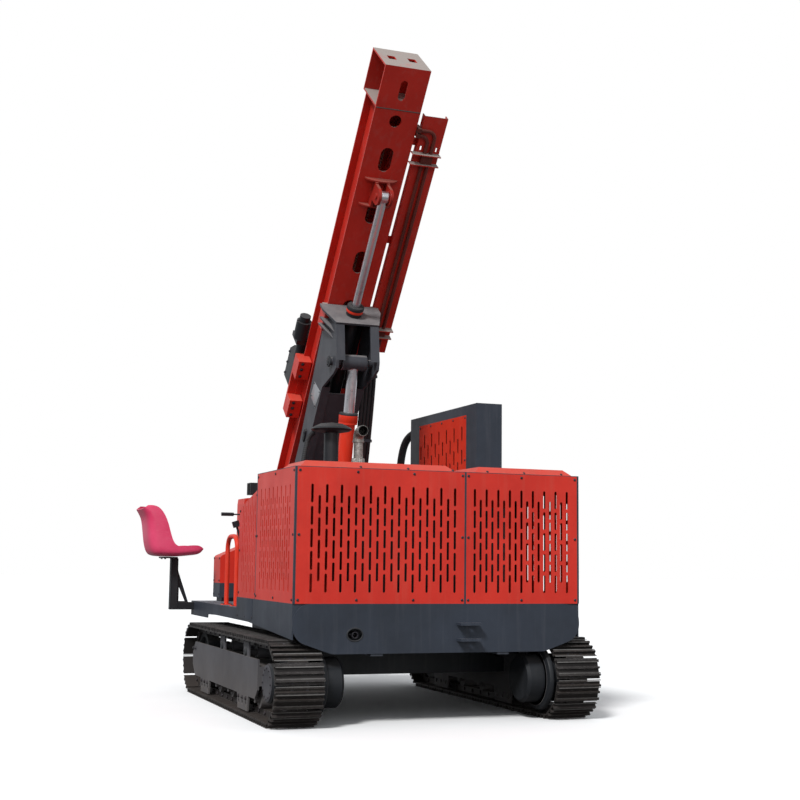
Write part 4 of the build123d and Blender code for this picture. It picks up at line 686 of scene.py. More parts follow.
def slotted_sheet(edges, first, pitch, columns, slot_low, step, slot_rows, wide):
    """Flat points and faces of the front, the slots' rings and the outer rim."""
    left, right, low, high = edges
    x_lines = np.concatenate([[left], first + pitch / 2 * np.arange(-1, 2 * columns), [right]])
    rows_low = slot_low - (step - SLOT_LONG) / 2
    z_lines = np.concatenate([[low], rows_low + step / 2 * np.arange(2 * slot_rows + 1), [high]])
    column, row = (grid.ravel() for grid in np.meshgrid(np.arange(columns), np.arange(slot_rows)))
    real = row < slot_rows - column % 2
    i, j = 1 + 2 * column[real], 1 + 2 * row[real] + column[real] % 2
    plain = np.ones((len(x_lines) - 1, len(z_lines) - 1), bool)
    for across, up in spread((0, 1), (0, 1)):
        plain[i + across, j + up] = False
    cells = np.stack([x_lines[i + 1], z_lines[j + 1]], -1)[:, None] + slot_cell(pitch, step, wide)
    starts = CELL * np.arange(len(cells))[:, None]
    left_face = starts + [0, 1, 2, 3, 4, *range(8, 18)]
    right_face = starts + [4, 5, 6, 7, 0, *range(17, 26), 8]
    rings = starts + np.arange(CORNERS, CELL)
    a, b = np.nonzero(plain)
    quads = np.stack([x_lines[[a, a + 1, a + 1, a]], z_lines[[b, b, b + 1, b + 1]]], -1).swapaxes(0, 1)
    quad_faces = cells.size // 2 + np.arange(4 * len(quads)).reshape(-1, 4)
    rim = [(x, low) for x in x_lines[:-1]] + [(right, z) for z in z_lines[:-1]]
    rim += [(x, high) for x in x_lines[:0:-1]] + [(left, z) for z in z_lines[:0:-1]]
    points = np.concatenate([cells.reshape(-1, 2), quads.reshape(-1, 2), rim])
    rim_ring = (len(points) - len(rim) + np.arange(len(rim)))[None]
    faces = [list(face) for part in (left_face, right_face, quad_faces) for face in part.tolist()]
    return points, faces, (rings, rim_ring)


# lowest slot, step upwards, rows, slot width
HOUSING_ROWS = (836, 140, 5, 17)
COOLER_ROWS = (873, 183, 7, 26)
# node, axis across the sheet, first column, pitch, columns, rows, finish, slot
SHEETS = (
    ("rear_panel_left", 1, -887, 48.75, 21, HOUSING_ROWS, "red_paint", "red_paint"),
    ("rear_panel_right", 1, 230, 42.5, 17, HOUSING_ROWS, "red_paint", "red_paint"),
    ("left_side_panel", 0, 115, 50, 15, HOUSING_ROWS, "red_paint", "red_paint"),
    ("right_side_panel", 0, 115, 50, 15, HOUSING_ROWS, "red_paint", "red_paint"),
    ("cooler_panel", 0, 1485, 78, 12, COOLER_ROWS, "cooler_red", "orange_paint"),
)
for node, axis, first, pitch, columns, slot_rows, coat, slot in SHEETS:
    lowest, highest = (np.array(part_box(node)) * 1000 + MIDDLE).round(2)
    flat = [lowest[1 - axis], highest[1 - axis], lowest[2], highest[2]]
    points, faces, rings = slotted_sheet(flat, first, pitch, columns, *slot_rows)
    count = len(points)
    all_faces = faces + [[index + count for index in face] for face in faces]
    for ring in rings:
        after = np.roll(ring, -1, 1)
        all_faces += np.stack([ring, after, after + count, ring + count], -1).reshape(-1, 4).tolist()
    both = [np.insert(points, axis, depth[axis], axis=1) for depth in (lowest, highest)]
    sheet_shape = (on_rig(np.concatenate(both)), all_faces)
    sheet = add_piece(node + "_sheet", sheet_shape, coat, smooth=30)
    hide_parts(node)
    print(node, "faces", len(all_faces))

# %% [markdown]
# A track shoe is a rolled plate with three bars. Four bolts hold it to its links, and a slot in its
# middle lets mud through; each slot is drawn as a flat near-black patch on the plate, painted shade.
# The shoes lie on two straight runs and round two wheels, so one function gives the middle of each
# shoe and the way it faces. The bars' crests are rubbed bright, except on the shoes that stand on the
# ground.

# %% Track shoes' bolts, painted slot shade and crests
PITCH = 148.0
PLATE_FACE = 245.5
CREST_FACE = 267.1
LINK_FACE = 214.0
WHEEL_HEIGHT = 267.5
REAR_WHEEL, FRONT_WHEEL = 190.0, 2410.0
TRACK_X = 962.0
GROUND_GAP = 0.001


def shoe_frames():
    """The turning centre's y of each shoe, and the angle of its outward direction."""
    straight = REAR_WHEEL + PITCH * (np.arange(15) + 0.5)
    bend = 36 * (np.arange(5) + 0.5)
    y = np.concatenate([straight, straight, np.full(5, REAR_WHEEL), np.full(5, FRONT_WHEEL)])
    angle = np.concatenate([np.full(15, 90.0), np.full(15, -90.0), 90 + bend, bend - 90])
    return y, np.radians(angle)


def on_shoes(side, across, travel, height):
    """Places on every shoe: centre + height * outward + travel * tangent, and the outward way."""
    y, angle = shoe_frames()
    outward = np.stack([0 * angle, np.cos(angle), np.sin(angle)], -1)
    tangent = np.stack([0 * angle, -np.sin(angle), np.cos(angle)], -1)
    middle = np.stack([side * TRACK_X + across + 0 * y, y, WHEEL_HEIGHT + 0 * y], -1)
    return on_rig(middle + height * outward + travel * tangent), outward


def across_shoes(shape, side, across, travel, height):
    """Copies whose width lies across the track, left out where they would touch the ground."""
    places, outward = on_shoes(side, across, travel, height)
    clear = places[:, 2] > GROUND_GAP
    places, outward = places[clear], outward[clear]
    level = np.broadcast_to(ACROSS, outward.shape)
    return placed(shape, places, np.stack([level, np.cross(outward, ACROSS), outward], -1))


SHOE_BOLT = bolt(9.0)
# Each shoe's slot is a flat near-black patch on the plate: painted shade
SLOT_SHADE_PATCH = rounded_box(62, 20, 1.6, 0.6)
CREST = rounded_box(312, 7, 0.5, 0.2)
LINK_PIN = turned([(0, 0), (15, 0), (15, 6), (12, 9), (5, 9), (4, 7), (0, 7)], 10)
SIDES = (("left", -1), ("right", 1))
for name, side in SIDES:
    bolts = [repeated(SHOE_BOLT, *on_shoes(side, across, travel, PLATE_FACE))
             for across, travel in spread((-48, 48), (24, -24))]
    # Near-black patches where the slots are: painted shade
    slot_patches = [across_shoes(SLOT_SHADE_PATCH, side, across, travel, PLATE_FACE - 0.2)
             for across, travel in ((0, 24), (-14, -24))]
    pins = [repeated(LINK_PIN, on_shoes(side, 64 * way, PITCH / 2, LINK_FACE)[0], (way, 0, 0))
            for way in (-1, 1)]
    crests = [across_shoes(CREST, side, 0, travel, CREST_FACE) for travel in (-48, 0, 48)]
    add_piece(name + "_shoe_bolts", joined(*bolts), "bolt_steel")
    add_piece(name + "_slot_shade_patches", joined(*slot_patches), "slot_black")
    add_piece(name + "_link_pins", joined(*pins), "bolt_steel")
    add_piece(name + "_bar_crests", joined(*crests), "crest_steel")
print("shoes a track", len(shoe_frames()[0]))

# %% [markdown]
# Wheels and rollers are closed by turned covers. The final drive has a wide cover with a ring of
# bolts, the carrier rollers small caps, and the guards over the lower rollers are bolted on. A
# plate stands inside each track frame, above its lower rollers.

# %% Covers on the running gear
COVER = turned([(0, 0), (112, 0), (114, 2), (114, 4), (110, 6), (78, 6), (74, 4.5), (0, 4.5)], 48)
HUB = turned([(0, 0), (58, 0), (58, 10), (52, 16), (30, 18), (28, 24), (12, 26), (0, 26)], 32)
CAP = turned([(0, 0), (26, 0), (26, 7), (22, 11), (9, 12), (8, 10), (0, 10)], 24)
DRIVE_GUARD = turned([(0, 0), (205, 0), (214, 6), (216, 16), (208, 34), (182, 46), (0, 46)], 64)
GUARD_X, CARRIER_X, WEB_X = TRACK_X - 156, TRACK_X + 117, TRACK_X - 106
WEB = ((620, 349), (2140, 349), (2140, 420), (2080, 448), (700, 448), (620, 400))


def ring_of(count, radius, middle, axis):
    """Places on a circle: middle + r cos a along one level axis + r sin a along the other."""
    angle = np.arange(count) * 2 * np.pi / count
    first, second = axes_towards(axis).T[:2]
    return middle + radius * (np.cos(angle)[:, None] * first + np.sin(angle)[:, None] * second)


for name, side in SIDES:
    outward = side * ACROSS
    outer = (side + 1) // 2
    drive = np.array([face(name + "_final_drive", 0, outer), REAR_WHEEL, WHEEL_HEIGHT])
    idler = (face(name + "_idler", 0, outer), FRONT_WHEEL, WHEEL_HEIGHT)
    carriers = [(side * CARRIER_X, y, 418.7) for y in (818, 1500)]
    guards = [(side * (TRACK_X + 129), y + step, 122) for y in (840, 1990) for step in (-95, 0, 95)]
    guards += [(side * (TRACK_X + 129), y, 345) for y in (2330, 2400)]
    drive_ring = ring_of(12, 94, drive + 5 * outward, outward)
    # ending of the name, shape, places, the way it faces, finish
    covers = (
        ("_drive_cover", COVER, drive, outward, "cover_grey"),
        ("_drive_bolts", bolt(6.5), drive_ring, outward, "bolt_steel"),
        ("_drive_guard", DRIVE_GUARD, (side * GUARD_X, REAR_WHEEL, WHEEL_HEIGHT), -outward, "black_paint"),
        ("_idler_hub", HUB, idler, outward, "dark_grey"),
        ("_carrier_caps", CAP, carriers, outward, "dark_grey"),
        ("_guard_bolts", bolt(11.0), guards, outward, "bolt_steel"),
    )
    for ending, shape, places, way, coat in covers:
        add_copies(name + ending, shape, on_rig(places), way, coat)
    web_points, web_faces = slab(WEB, 6.0, 2.0)
    web = on_rig(web_points * [side, 1, 1] + [side * WEB_X, 0, 0])
    add_piece(name + "_inner_web", (web, web_faces), "black_paint")
print("covers on the running gear", len(SIDES) * (len(covers) + 1))

# %% [markdown]
# The seat is a one-piece moulded bucket. Seen from the side it is a band between two lines: the
# underside, which runs down the back and along the pan, and the rim of its side wings. Across, each
# section is a deep U with rounded corners, a superellipse. The inner skin repeats the outer one a
# wall's thickness inside, and the two meet at the rim and at both ends.

# %% Moulded seat
SEAT_PLACE = np.array([-1170.0, 2900.0, 1047.0])
SEAT_WALL = 9.0
# Underside and rim, across from the post and up from the underside
UNDERSIDE = ((-304, 380), (-285, 345), (-262, 303), (-250, 198), (-237, 85), (-214, 24), (-178, 3),
             (-60, 1), (30, 4), (95, 12), (160, 18), (190, 34), (203, 62))
RIM = ((-262, 412), (-215, 414), (-165, 395), (-122, 333), (-93, 262), (-68, 165), (-42, 105),
       (-8, 84), (40, 88), (90, 94), (140, 96), (172, 90), (196, 72))
WIDTHS = (184, 196, 203, 206, 207, 208, 209, 209, 209, 208, 206, 200, 186)


def seat_skin(inset):
    """Outer or inner skin: under + (rim - under) h(a), y = w sign(sin a) |sin a| ** 0.45."""
    under, rim = (rounded_line(line, 6) for line in (UNDERSIDE, RIM))
    half = rounded_line([(w, 0) for w in WIDTHS], 6)[:, :1] - inset
    angle = np.linspace(-np.pi / 2, np.pi / 2, 41)
    y = half * np.sign(np.sin(angle)) * np.abs(np.sin(angle)) ** 0.45
    rise = 1 - np.abs(np.cos(angle)) ** 0.42
    towards = rim - under
    low = under + towards / np.linalg.norm(towards, axis=1, keepdims=True) * inset
    flat = low[:, None] + (rim - low)[:, None] * rise[None, :, None]
    return np.stack([flat[..., 0], y, flat[..., 1]], -1)


outer, inner = seat_skin(0.0), seat_skin(SEAT_WALL)
loop = np.concatenate([outer, inner[:, ::-1]], 1)
middle_skin = (outer + inner) / 2
front_end, back_end = (np.concatenate([middle_skin[i], middle_skin[i, ::-1]])[None] for i in (0, -1))
grid = np.concatenate([front_end, loop, back_end])
seat_shape = (on_rig(SEAT_PLACE + grid.reshape(-1, 3)), grid_faces(grid.shape[0], grid.shape[1]))
seat = add_piece("seat_bucket", seat_shape, "seat_plastic", smooth=60)
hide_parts("seat_shell")
pads = [SEAT_PLACE + (x, y, -12) for x, y in spread((-90, -12), (-75, 75))]
add_copies("seat_bolts", bolt(8.0), on_rig(pads), -UP, "bolt_steel")
print("seat", len(seat.data.vertices), "points")

# %% [markdown]
# The seat stands on a square post that is welded to an arm from the deck's side, under a flat top
# plate. The corner between arm and post is stiffened by a gusset, a triangle of plate with a
# triangular opening: a ring whose section runs round the plate's four edges.

# %% Seat stand
# foot (x, y, z), then width along Y, depth along X, and height
STAND = (
    ((-1170, 2900, 620), (60, 60, 415)),
    ((-1070, 2900, 620), (60, 140, 60)),
    ((-1220, 2900, 1035), (200, 120, 12)),
)
STAND_EDGE = 2.5
# outer and inner outline of the gusset (x, z), and its two sides (y)
GUSSET_OUTER = ((-1140, 948), (-1046, 680), (-1140, 680))
GUSSET_INNER = ((-1126, 806), (-1074, 688), (-1126, 688))
NEAR, FAR = 2895, 2905

bars = [repeated(rounded_box(*size, STAND_EDGE), on_rig(foot), UP) for foot, size in STAND]
corners = ((GUSSET_OUTER, NEAR), (GUSSET_INNER, NEAR), (GUSSET_INNER, FAR), (GUSSET_OUTER, FAR))
section = [np.insert(outline, 1, y, axis=1) for outline, y in (*corners, corners[0])]
gusset = (on_rig(np.concatenate(section)), grid_faces(len(section), 3))
stand = add_piece("seat_stand", joined(*bars, gusset), "black_paint", smooth=30)
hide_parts("seat_post")
print("seat stand", len(stand.data.vertices), "points")

# %% [markdown]
# The feed chain runs inside the mast, and shows as dark rungs through the windows. A leaf chain has
# paired side plates and rollers at each pitch, here about 38 mm. Its line is two straights and two
# half circles, so a distance along it gives a place and a direction for each link.

# %% Feed chain
CHAIN_LOW, CHAIN_HIGH, CHAIN_MIDDLE, CHAIN_ROUND = -1485.0, 2085.0, 198.0, 54.0
LINKS = 196


def chain_line(distance):
    """Place (y, s) and tangent on a stadium, for distances measured along it."""
    straight = CHAIN_HIGH - CHAIN_LOW
    arc = np.pi * CHAIN_ROUND
    lap = distance % (2 * (straight + arc))
    back = lap >= straight + arc
    lap = np.where(back, lap - straight - arc, lap)
    turn = np.clip((lap - straight) / CHAIN_ROUND, 0, np.pi)
    y = -CHAIN_ROUND * np.cos(turn)
    s = np.minimum(lap, straight) + CHAIN_ROUND * np.sin(turn)
    flip = np.where(back, -1, 1)
    start = np.where(back, CHAIN_HIGH, CHAIN_LOW)
    place = np.stack([CHAIN_MIDDLE + flip * y, start + flip * s], -1)
    return place, np.stack([flip * np.sin(turn), flip * np.cos(turn)], -1)


step = 2 * (CHAIN_HIGH - CHAIN_LOW + np.pi * CHAIN_ROUND) / LINKS
places, ways = chain_line(np.arange(LINKS) * step)
way_y, way_s = ways.T[..., None]
link_axes = (way_y * MAST_FORWARD + way_s * MAST_ALONG, way_y * MAST_ALONG - way_s * MAST_FORWARD)
link_axes = np.stack([*link_axes, np.broadcast_to(ACROSS, link_axes[0].shape)], -1)
round_points, round_faces = turned([(0, 0), (9, 0), (9, 3.5), (0, 3.5)], 8)
plates = [(round_points * [2.4, 1, 1] + [0, 0, z], round_faces) for z in (-27, -21, 17.5, 23.5)]
roller = turned([(0, -27), (8, -27), (8, 27), (0, 27)], 8)
links = placed(joined(roller, *plates), on_mast(np.insert(places, 0, 0, axis=1)), link_axes)
chain = add_piece("chain_links", links, "chain_steel", "mast", 0)
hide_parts("feed_chain")
print("links", LINKS, "pitch", round(step, 1))

# %% [markdown]
# The carriage holds the mast's flanges between bolted guide blocks, and the rotary head is driven by
# two hydraulic motors. Hexagon bolts show on the blocks' rear faces, on the sides of the gearbox and
# round the ends of the motors, and each motor has two pipe fittings.

# %% Bolts on the carriage and the rotary head
MOTOR_X = (-215, 215)
GEARBOX_X = 210
FITTING = turned([(0, 0), (15, 0), (15, 8), (11, 8), (11, 24), (14, 26), (14, 40), (9, 44), (0, 44)], 12)
guides = [(x, 170, s) for x in (-203, 203) for s in (23, -30, -95, -358, -411, -476)]
box_spots = spread((350, 560), (-300, -195, -90))
box_bolts = [repeated(bolt(9.0), on_mast([(way * GEARBOX_X, y, s) for y, s in box_spots]), way * ACROSS)
             for way in (-1, 1)]
motor_rings = [ring_of(6, 0.0535, on_mast((x, 348, 330)), MAST_ALONG) for x in MOTOR_X]
ports = [(x + step, 424, 245) for x in MOTOR_X for step in (-14, 14)]
add_copies("guide_bolts", bolt(11.0), on_mast(guides), -MAST_FORWARD, "bolt_steel",
           "feed_head")
add_piece("gearbox_bolts", joined(*box_bolts), "bolt_steel", "feed_head")
add_copies("motor_bolts", bolt(6.0), motor_rings, MAST_ALONG, "bolt_steel", "feed_head")
add_copies("port_fittings", FITTING, on_mast(ports), MAST_FORWARD, "zinc", "feed_head")
print("bolts on the feed", len(guides) + 2 * len(box_spots) + 12)

# %% [markdown]
# The cradle carries the mast on its sliding claws. Its big pins are locked by round keepers with two
# bolts, a pale blank plate is screwed to its left cheek, and a folding latch sits lower down. A near-black
# sheet just behind the mast makes the cradle's rear opening read dark: painted shade.

# %% Pins, plates and latch on the cradle
CHEEK = 175
KEEPER = turned([(0, 0), (44, 0), (44, 5), (40, 9), (18, 9), (14, 12), (0, 12)], 32)
keepers, locks = [], []
for y, s, x in ((-345, -1340, 175), (-400, 410, 195)):
    for way in (-1, 1):
        keepers.append(repeated(KEEPER, on_mast((way * x, y, s)), way * ACROSS))
        spots = [(way * (x + 8), y, s + step) for step in (-30, 30)]
        locks.append(repeated(bolt(7.0), on_mast(spots), way * ACROSS))
add_piece("pin_keepers", joined(*keepers), "dark_grey", "cradle")
add_piece("keeper_bolts", joined(*locks), "bolt_steel", "cradle")

# Outlines (forward, along), on the left cheek, and of the near-black sheet that paints shade in the
# cradle's rear opening
BLANK_PLATE = np.array([(-131, 50), (-318, 74), (-287, -100), (-127, -90)])
LATCH = ((-232, -470), (-198, -470), (-190, -440), (-198, -364), (-232, -364), (-240, -440))
OPENING_SHADE_SHEET = ((-150, -60), (150, -60), (150, 640), (120, 676), (-120, 676), (-150, 640))
plate_points, plate_faces = slab(BLANK_PLATE, 3.0, 2.0)
plate = on_mast(plate_points - [CHEEK, 0, 0])
add_piece("blank_plate", (plate, plate_faces), "plate_metal", "cradle")
plate_middle = BLANK_PLATE.mean(0)
screw_spots = np.insert(plate_middle + 0.86 * (BLANK_PLATE - plate_middle), 0, -CHEEK - 3, axis=1)
add_copies("plate_screws", bolt(7.0, DOME_HEAD, 10), on_mast(screw_spots), -ACROSS, "bolt_steel",
           "cradle")
latch_points, latch_faces = slab(LATCH, 14.0, 5.0)
latch = on_mast(latch_points - [CHEEK, 0, 0])
add_piece("cheek_latch", (latch, latch_faces), "dark_grey", "cradle")
add_copies("latch_knob", bolt(13.0, DOME_HEAD, 16), on_mast((-CHEEK - 14, -215, -390)), -ACROSS,
           "bolt_steel", "cradle")
# A near-black sheet just behind the mast, so that the cradle's rear opening reads dark: painted shade
shade_sheet_points, shade_sheet_faces = slab(OPENING_SHADE_SHEET, 6.0, 2.0)
back = on_mast(shade_sheet_points[:, [1, 0, 2]] - [0, 28, 0])
add_piece("cradle_opening_shade_sheet", (back, shade_sheet_faces), "black_paint", "cradle")
print("keepers", len(keepers))

# %% [markdown]
# Rings sit round the cylinders where a rod leaves its barrel: a dark gland, a wiper, and collars
# painted bright orange. Each is a closed profile, turned about the cylinder's axis.

# %% Rings on the cylinders
# name, profile (radius, height), sides, place, axis, finish, slot, body
RINGS = (
    ("slide_gland", ((34, 0), (66, 0), (68, 3), (68, 24), (64, 30), (36, 32), (34, 30), (34, 0)), 40,
     on_mast((0, -150, 748)), MAST_ALONG, "dark_grey", "orange_paint", "cradle"),
    ("slide_lower_ring", ((60, 0), (62, 1), (62, 28), (60, 30), (54, 30), (54, 0), (60, 0)), 40,
     on_mast((0, -150, 697)), MAST_ALONG, "black_paint", "orange_paint", "cradle"),
    ("slide_orange_ring", ((57, 0), (66, 0), (67, 2), (67, 20), (66, 22), (57, 22), (57, 0)), 40,
     on_mast((0, -150, 726)), MAST_ALONG, "orange_paint", "orange_paint", "cradle"),
    ("lift_eye_sleeve", ((40, 0), (59, 0), (61, 2), (61, 196), (59, 198), (40, 198), (40, 0)), 48,
     on_mast((-99, -400, 410)), ACROSS, "cradle_grey", "chrome_rod", "lift_rod"),
    ("lift_wiper", ((45, 0), (70, 0), (74, 4), (74, 14), (70, 20), (48, 22), (45, 18), (45, 0)), 48,
     on_lift((0, 0, 1538)), LIFT_ALONG, "dark_grey", "orange_paint", "lift_barrel"),
    ("lift_collar", ((57, 0), (72, 4), (75, 8), (75, 56), (73, 58), (57, 58), (57, 0)), 48,
     on_lift((0, 0, 1479)), LIFT_ALONG, "orange_paint", "orange_paint", "lift_barrel"),
)
for name, profile, sides, place, axis, coat, slot, body in RINGS:
    add_copies(name, turned(profile, sides), place, axis, coat, body)
print("rings", len(RINGS))

# %% [markdown]
# Four hydraulic hoses come down beside the cradle in two clamps. They are held so closely that they
# swing with it as one bundle, so they are fixed pieces of the cradle. Each is a circle carried along
# the same curve, and every hose but the last starts a little lower than its neighbour.

# %% Hoses beside the cradle
HOSE_RADIUS = 0.0165
HOSE_Y, HOSE_TOP = 1972, 2680
HOSE_RUN = np.array([(0, 0, 0), (4, 20, -160), (10, 90, -420), (14, 170, -700), (16, 240, -930),
                     (10, 300, -1080)])
# x of each hose, and how much lower than the highest it starts
HOSES = ((128, 60), (160, 30), (192, 10), (224, 0))
hoses = [tube(on_rig(rounded_line(HOSE_RUN + (x, HOSE_Y, HOSE_TOP - drop), 10)), HOSE_RADIUS, 14)
         for x, drop in HOSES]
add_piece("cradle_hoses", joined(*hoses), "rubber", "cradle", 60)
clamps = on_rig([(180, 1992, 2500), (190, 2132, 1990)])
add_copies("hose_clamps", rounded_box(46, 136, 26, 5), clamps, UP, "bolt_steel", "cradle")
print("hoses", len(HOSES), "in clamps", len(clamps))

# %% [markdown]
# The exhaust's galvanised sleeve is rolled with flutes, which a cosine added to its radius gives. The
# mouth is black with soot. The air intake's duct is a corrugated hose: a tube whose radius rises and
# falls along its line. Both are short fixed pipes, held at their ends.

# %% Exhaust and intake duct
EXHAUST_X, EXHAUST_Y = -396, 555
FLUTE_SIDES = 192
angle = np.arange(FLUTE_SIDES) * 2 * np.pi / FLUTE_SIDES
fluted = 45.2 + 1.6 * np.cos(24 * angle)
# radius and height, from the lower end's rim round and back to it
levels = ((43, 1634), (fluted, 1636), (fluted, 1722), (43, 1726), (43, 1634))
sleeve = [np.stack([EXHAUST_X + size * np.cos(angle), EXHAUST_Y + size * np.sin(angle),
                    height + 0 * angle], -1) for size, height in levels]
sleeve_shape = (on_rig(np.concatenate(sleeve)), grid_faces(len(levels), FLUTE_SIDES))
add_piece("exhaust_flutes", sleeve_shape, "zinc", smooth=30)
mouth = on_rig([(EXHAUST_X, 458 + step, 1912) for step in (-2, 4, 20, 60)])
add_piece("exhaust_soot", hollow_tube(mouth, 0.0334, 0.003, 32), "slot_black")
duct = rounded_line([(-773, 625, 1624), (-770, 625, 1670), (-758, 625, 1744), (-740, 625, 1839),
                     (-722, 625, 1880), (-693, 625, 1900)], 26)
ripple = (16.2 + 1.6 * np.cos(np.arange(len(duct)) * np.pi / 2)) / 1000
duct_shape = tube(on_rig(duct), ripple, 20, FORWARD)
duct_piece = add_piece("intake_duct", duct_shape, "rubber", smooth=60)
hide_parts("intake_hose")
print("duct", len(duct), "rings")

# %% [markdown]
# Two thick hoses leave the cooler's front. The upper one bends down and runs to the deck, and a
# bright band is clamped round it; the lower one goes down close to the cooler's face. They are fixed
# at both ends, so each is a plain tube along a curve.

# %% Cooler hoses
COOLER_RADIUS = 0.033
UPPER_BEND = ((850, 2575, 2140), (845, 2690, 2140), (800, 2770, 2080), (775, 2795, 1930),
              (765, 2800, 1780), (750, 2800, 1630))
LOWER_BEND = ((850, 2575, 1790), (830, 2640, 1785), (800, 2690, 1740), (790, 2710, 1630))
BAND = turned([(33, -9), (36, -9), (36.6, -7), (36.6, 7), (36, 9), (33, 9), (33, -9)], 32)
bends = [tube(on_rig(rounded_line(line, 12)), COOLER_RADIUS, 24) for line in (UPPER_BEND, LOWER_BEND)]
bend_piece = add_piece("cooler_bends", joined(*bends), "rubber", smooth=60)
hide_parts("cooler_hoses")
add_copies("hose_bands", BAND, on_rig((768, 2797, 1850)), UP, "plate_metal")
print("cooler hoses", len(bends))

# %% [markdown]
# Small fittings finish the chassis: a rim and a pipe end in the skirt's oval opening, flanges where
# the grab handle meets the deck, the blank screen and the rubber gaiter of the joystick.

# %% Fittings on the chassis
angle = np.arange(64)[None, :, None] * 2 * np.pi / 64
roll = np.arange(13)[:, None, None] * 2 * np.pi / 12
ring = np.concatenate([
    -590 + (52 + 5 * np.cos(roll)) * np.cos(angle),
    face("skirt", 1, 0) - 3 * np.sin(roll) + 0 * angle,
    574 + (40 + 5 * np.cos(roll)) * np.sin(angle),
], -1)
add_piece("oval_rim", (on_rig(ring), grid_faces(13, 64)), "dark_grey")
drain = on_rig([(-586, y, 572) for y in (8, 30, 60, 90)])
add_piece("drain_pipe", hollow_tube(drain, 0.022, 0.006, 24), "bolt_steel")

HANDLE_X, HANDLE_Y = -940, (1700, 2000)
BELLOWS = ((0, 0), (34, 0), (34, 4), (27, 9), (31, 14), (24, 19), (28, 24), (21, 29), (24, 34),
           (15, 40), (0, 40))
feet = [(HANDLE_X, y, 690) for y in HANDLE_Y]
foot_bolts = [(x + across, y + forward, 697) for x, y, z in feet
              for across, forward in spread((-27, 27), (-27, 27))]
screen = (face("console_display", 0, 0), 2830, 1620)
# name, shape, places, the way it faces, finish, slot
FITTINGS = (
    ("handle_flanges", rounded_box(74, 74, 7, 2), feet, UP, "orange_paint", "orange_paint"),
    ("flange_bolts", bolt(6.0), foot_bolts, UP, "bolt_steel", "orange_paint"),
    ("display_screen", rounded_box(72, 92, 3, 1.5), screen, -ACROSS, "slot_black", "black_paint"),
    ("lever_gaiter", turned(BELLOWS, 28), (-634, 2780, 1141), (-54, 0, 164), "rubber", "black_rubber"),
)
for name, shape, places, way, coat, slot in FITTINGS:
    add_copies(name, shape, on_rig(places), way, coat)
print("fittings", len(FITTINGS) + 2)

# %% [markdown]
# The deck's tread is a pattern of short raised bars that lie left and right by turns. They stand on
# a square grid, kept clear of the handle's flanges, and each piece holds the bars of one direction.

# %% Tread on the deck
TREAD = rounded_box(34, 8, 2.2, 0.8)
TREAD_STEP = 46
tread_x, tread_y = np.meshgrid(np.arange(-975, -470, TREAD_STEP), np.arange(1470, 2690, TREAD_STEP))
from_handle = np.min([np.abs(tread_y - y) for y in HANDLE_Y], 0)
clear = (np.abs(tread_x - HANDLE_X) > 45) | (from_handle > 45)
treads = np.stack([tread_x[clear], tread_y[clear], np.full(clear.sum(), 689.8)], -1)
for name, degrees, parity in (("tread_a", 45, 0), ("tread_b", -45, 1)):
    chosen = (treads[:, :2].sum(1) / TREAD_STEP).round() % 2 == parity
    c, s = np.cos(np.radians(degrees)), np.sin(np.radians(degrees))
    bar = (TREAD[0] @ np.array([[c, s, 0], [-s, c, 0], [0, 0, 1]]), TREAD[1])
    bars = repeated(bar, on_rig(treads[chosen]), UP)
    add_piece(name, bars, "deck_grey", smooth=0)
print("bars of tread", len(treads))

# %% [markdown]
# Welds join the mast's head to its beam and the cradle's top plate to its cheeks. A weld bead is a
# thin tube with small even ripples, half sunk in the corner that it fills. The lift cylinder has its
# own steel pipe, clamped along the barrel.

# %% Welds and cylinder pipe
BEAD_RADIUS, BEAD_STEP = 0.004, 3


def bead(start, end):
    """A bead's line and its radius r (1 + 0.12 cos k), one ripple each 6 mm."""
    start, end = np.asarray(start, float), np.asarray(end, float)
    count = max(int(np.linalg.norm(end - start) / BEAD_STEP), 4)
    line = start + (end - start) * np.linspace(0, 1, count)[:, None]
    return on_mast(line), BEAD_RADIUS * (1 + 0.12 * np.cos(np.pi * np.arange(count)))


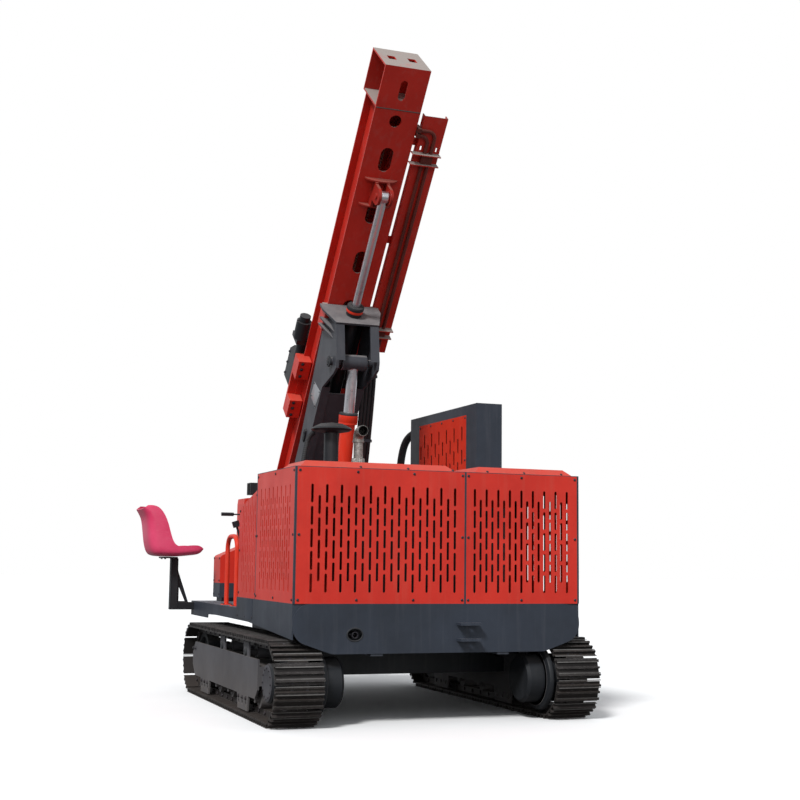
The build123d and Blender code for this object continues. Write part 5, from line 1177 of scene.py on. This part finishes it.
# body, finish, slot, start and end on the mast
WELDS = (
    ("mast", "plate_metal_dull", "red_paint", (-172, -1, 2330), (172, -1, 2330)),
    ("mast", "mast_red", "red_paint", (-56, -1, 1705), (-56, -1, 1640)),
    ("mast", "mast_red", "red_paint", (56, -1, 1705), (56, -1, 1640)),
    ("cradle", "cradle_grey", "grey_paint", (-176, -20, 679), (-176, -290, 679)),
    ("cradle", "cradle_grey", "grey_paint", (176, -20, 679), (176, -290, 679)),
)
for index, (body, coat, slot, start, end) in enumerate(WELDS):
    add_piece(f"weld_{index}", tube(*bead(start, end), 8, MAST_FORWARD), coat, body)
LIFT_PIPE = ((0, 62, 130), (0, 82, 150), (0, 86, 190), (0, 86, 1300), (0, 86, 1390), (0, 78, 1420),
             (0, 62, 1440))
pipe = tube(on_lift(rounded_line(LIFT_PIPE, 6)), 0.009, 12)
add_piece("lift_pipe", pipe, "zinc", "lift_barrel")
clamp_spots = [(0, 54, along) for along in (350, 800, 1200)]
add_copies("lift_clamps", rounded_box(44, 30, 34, 3), on_lift(clamp_spots), LIFT_FORWARD, "dark_grey",
           "lift_barrel")
print("welds", len(WELDS))

# %% [markdown]
# The floor is a wide pale sheet that catches the rig's shadow. It isn't part of the rig. The camera
# sees it nearly white, while it sends less light than that up under the rig.

# %% Floor
REACH = 60.0
floor_mesh = bpy.data.meshes.new("floor")
floor_corners = [(-REACH, -REACH, 0), (REACH, -REACH, 0), (REACH, REACH, 0), (-REACH, REACH, 0)]
floor_mesh.from_pydata(floor_corners, [], [(0, 1, 2, 3)])
tree, shader = new_material("floor_white")
seen = add_node(tree, "LightPath").outputs["Is Camera Ray"]
pale = mixed(tree, noise(tree, object_place(tree), 2.0), linear("#FAFAFA"), linear("#FFFFFF"))
fill(tree, shader, {"Base Color": mixed(tree, seen, linear("#6E6E6E"), pale), "Roughness": 0.9,
                    "Specular IOR Level": 0.1})
floor_mesh.materials.append(materials["floor_white"])
floor = bpy.data.objects.new("floor", floor_mesh)
floor.location.z = -0.001
scene.collection.objects.link(floor)
print("floor", 2 * REACH, "m wide")
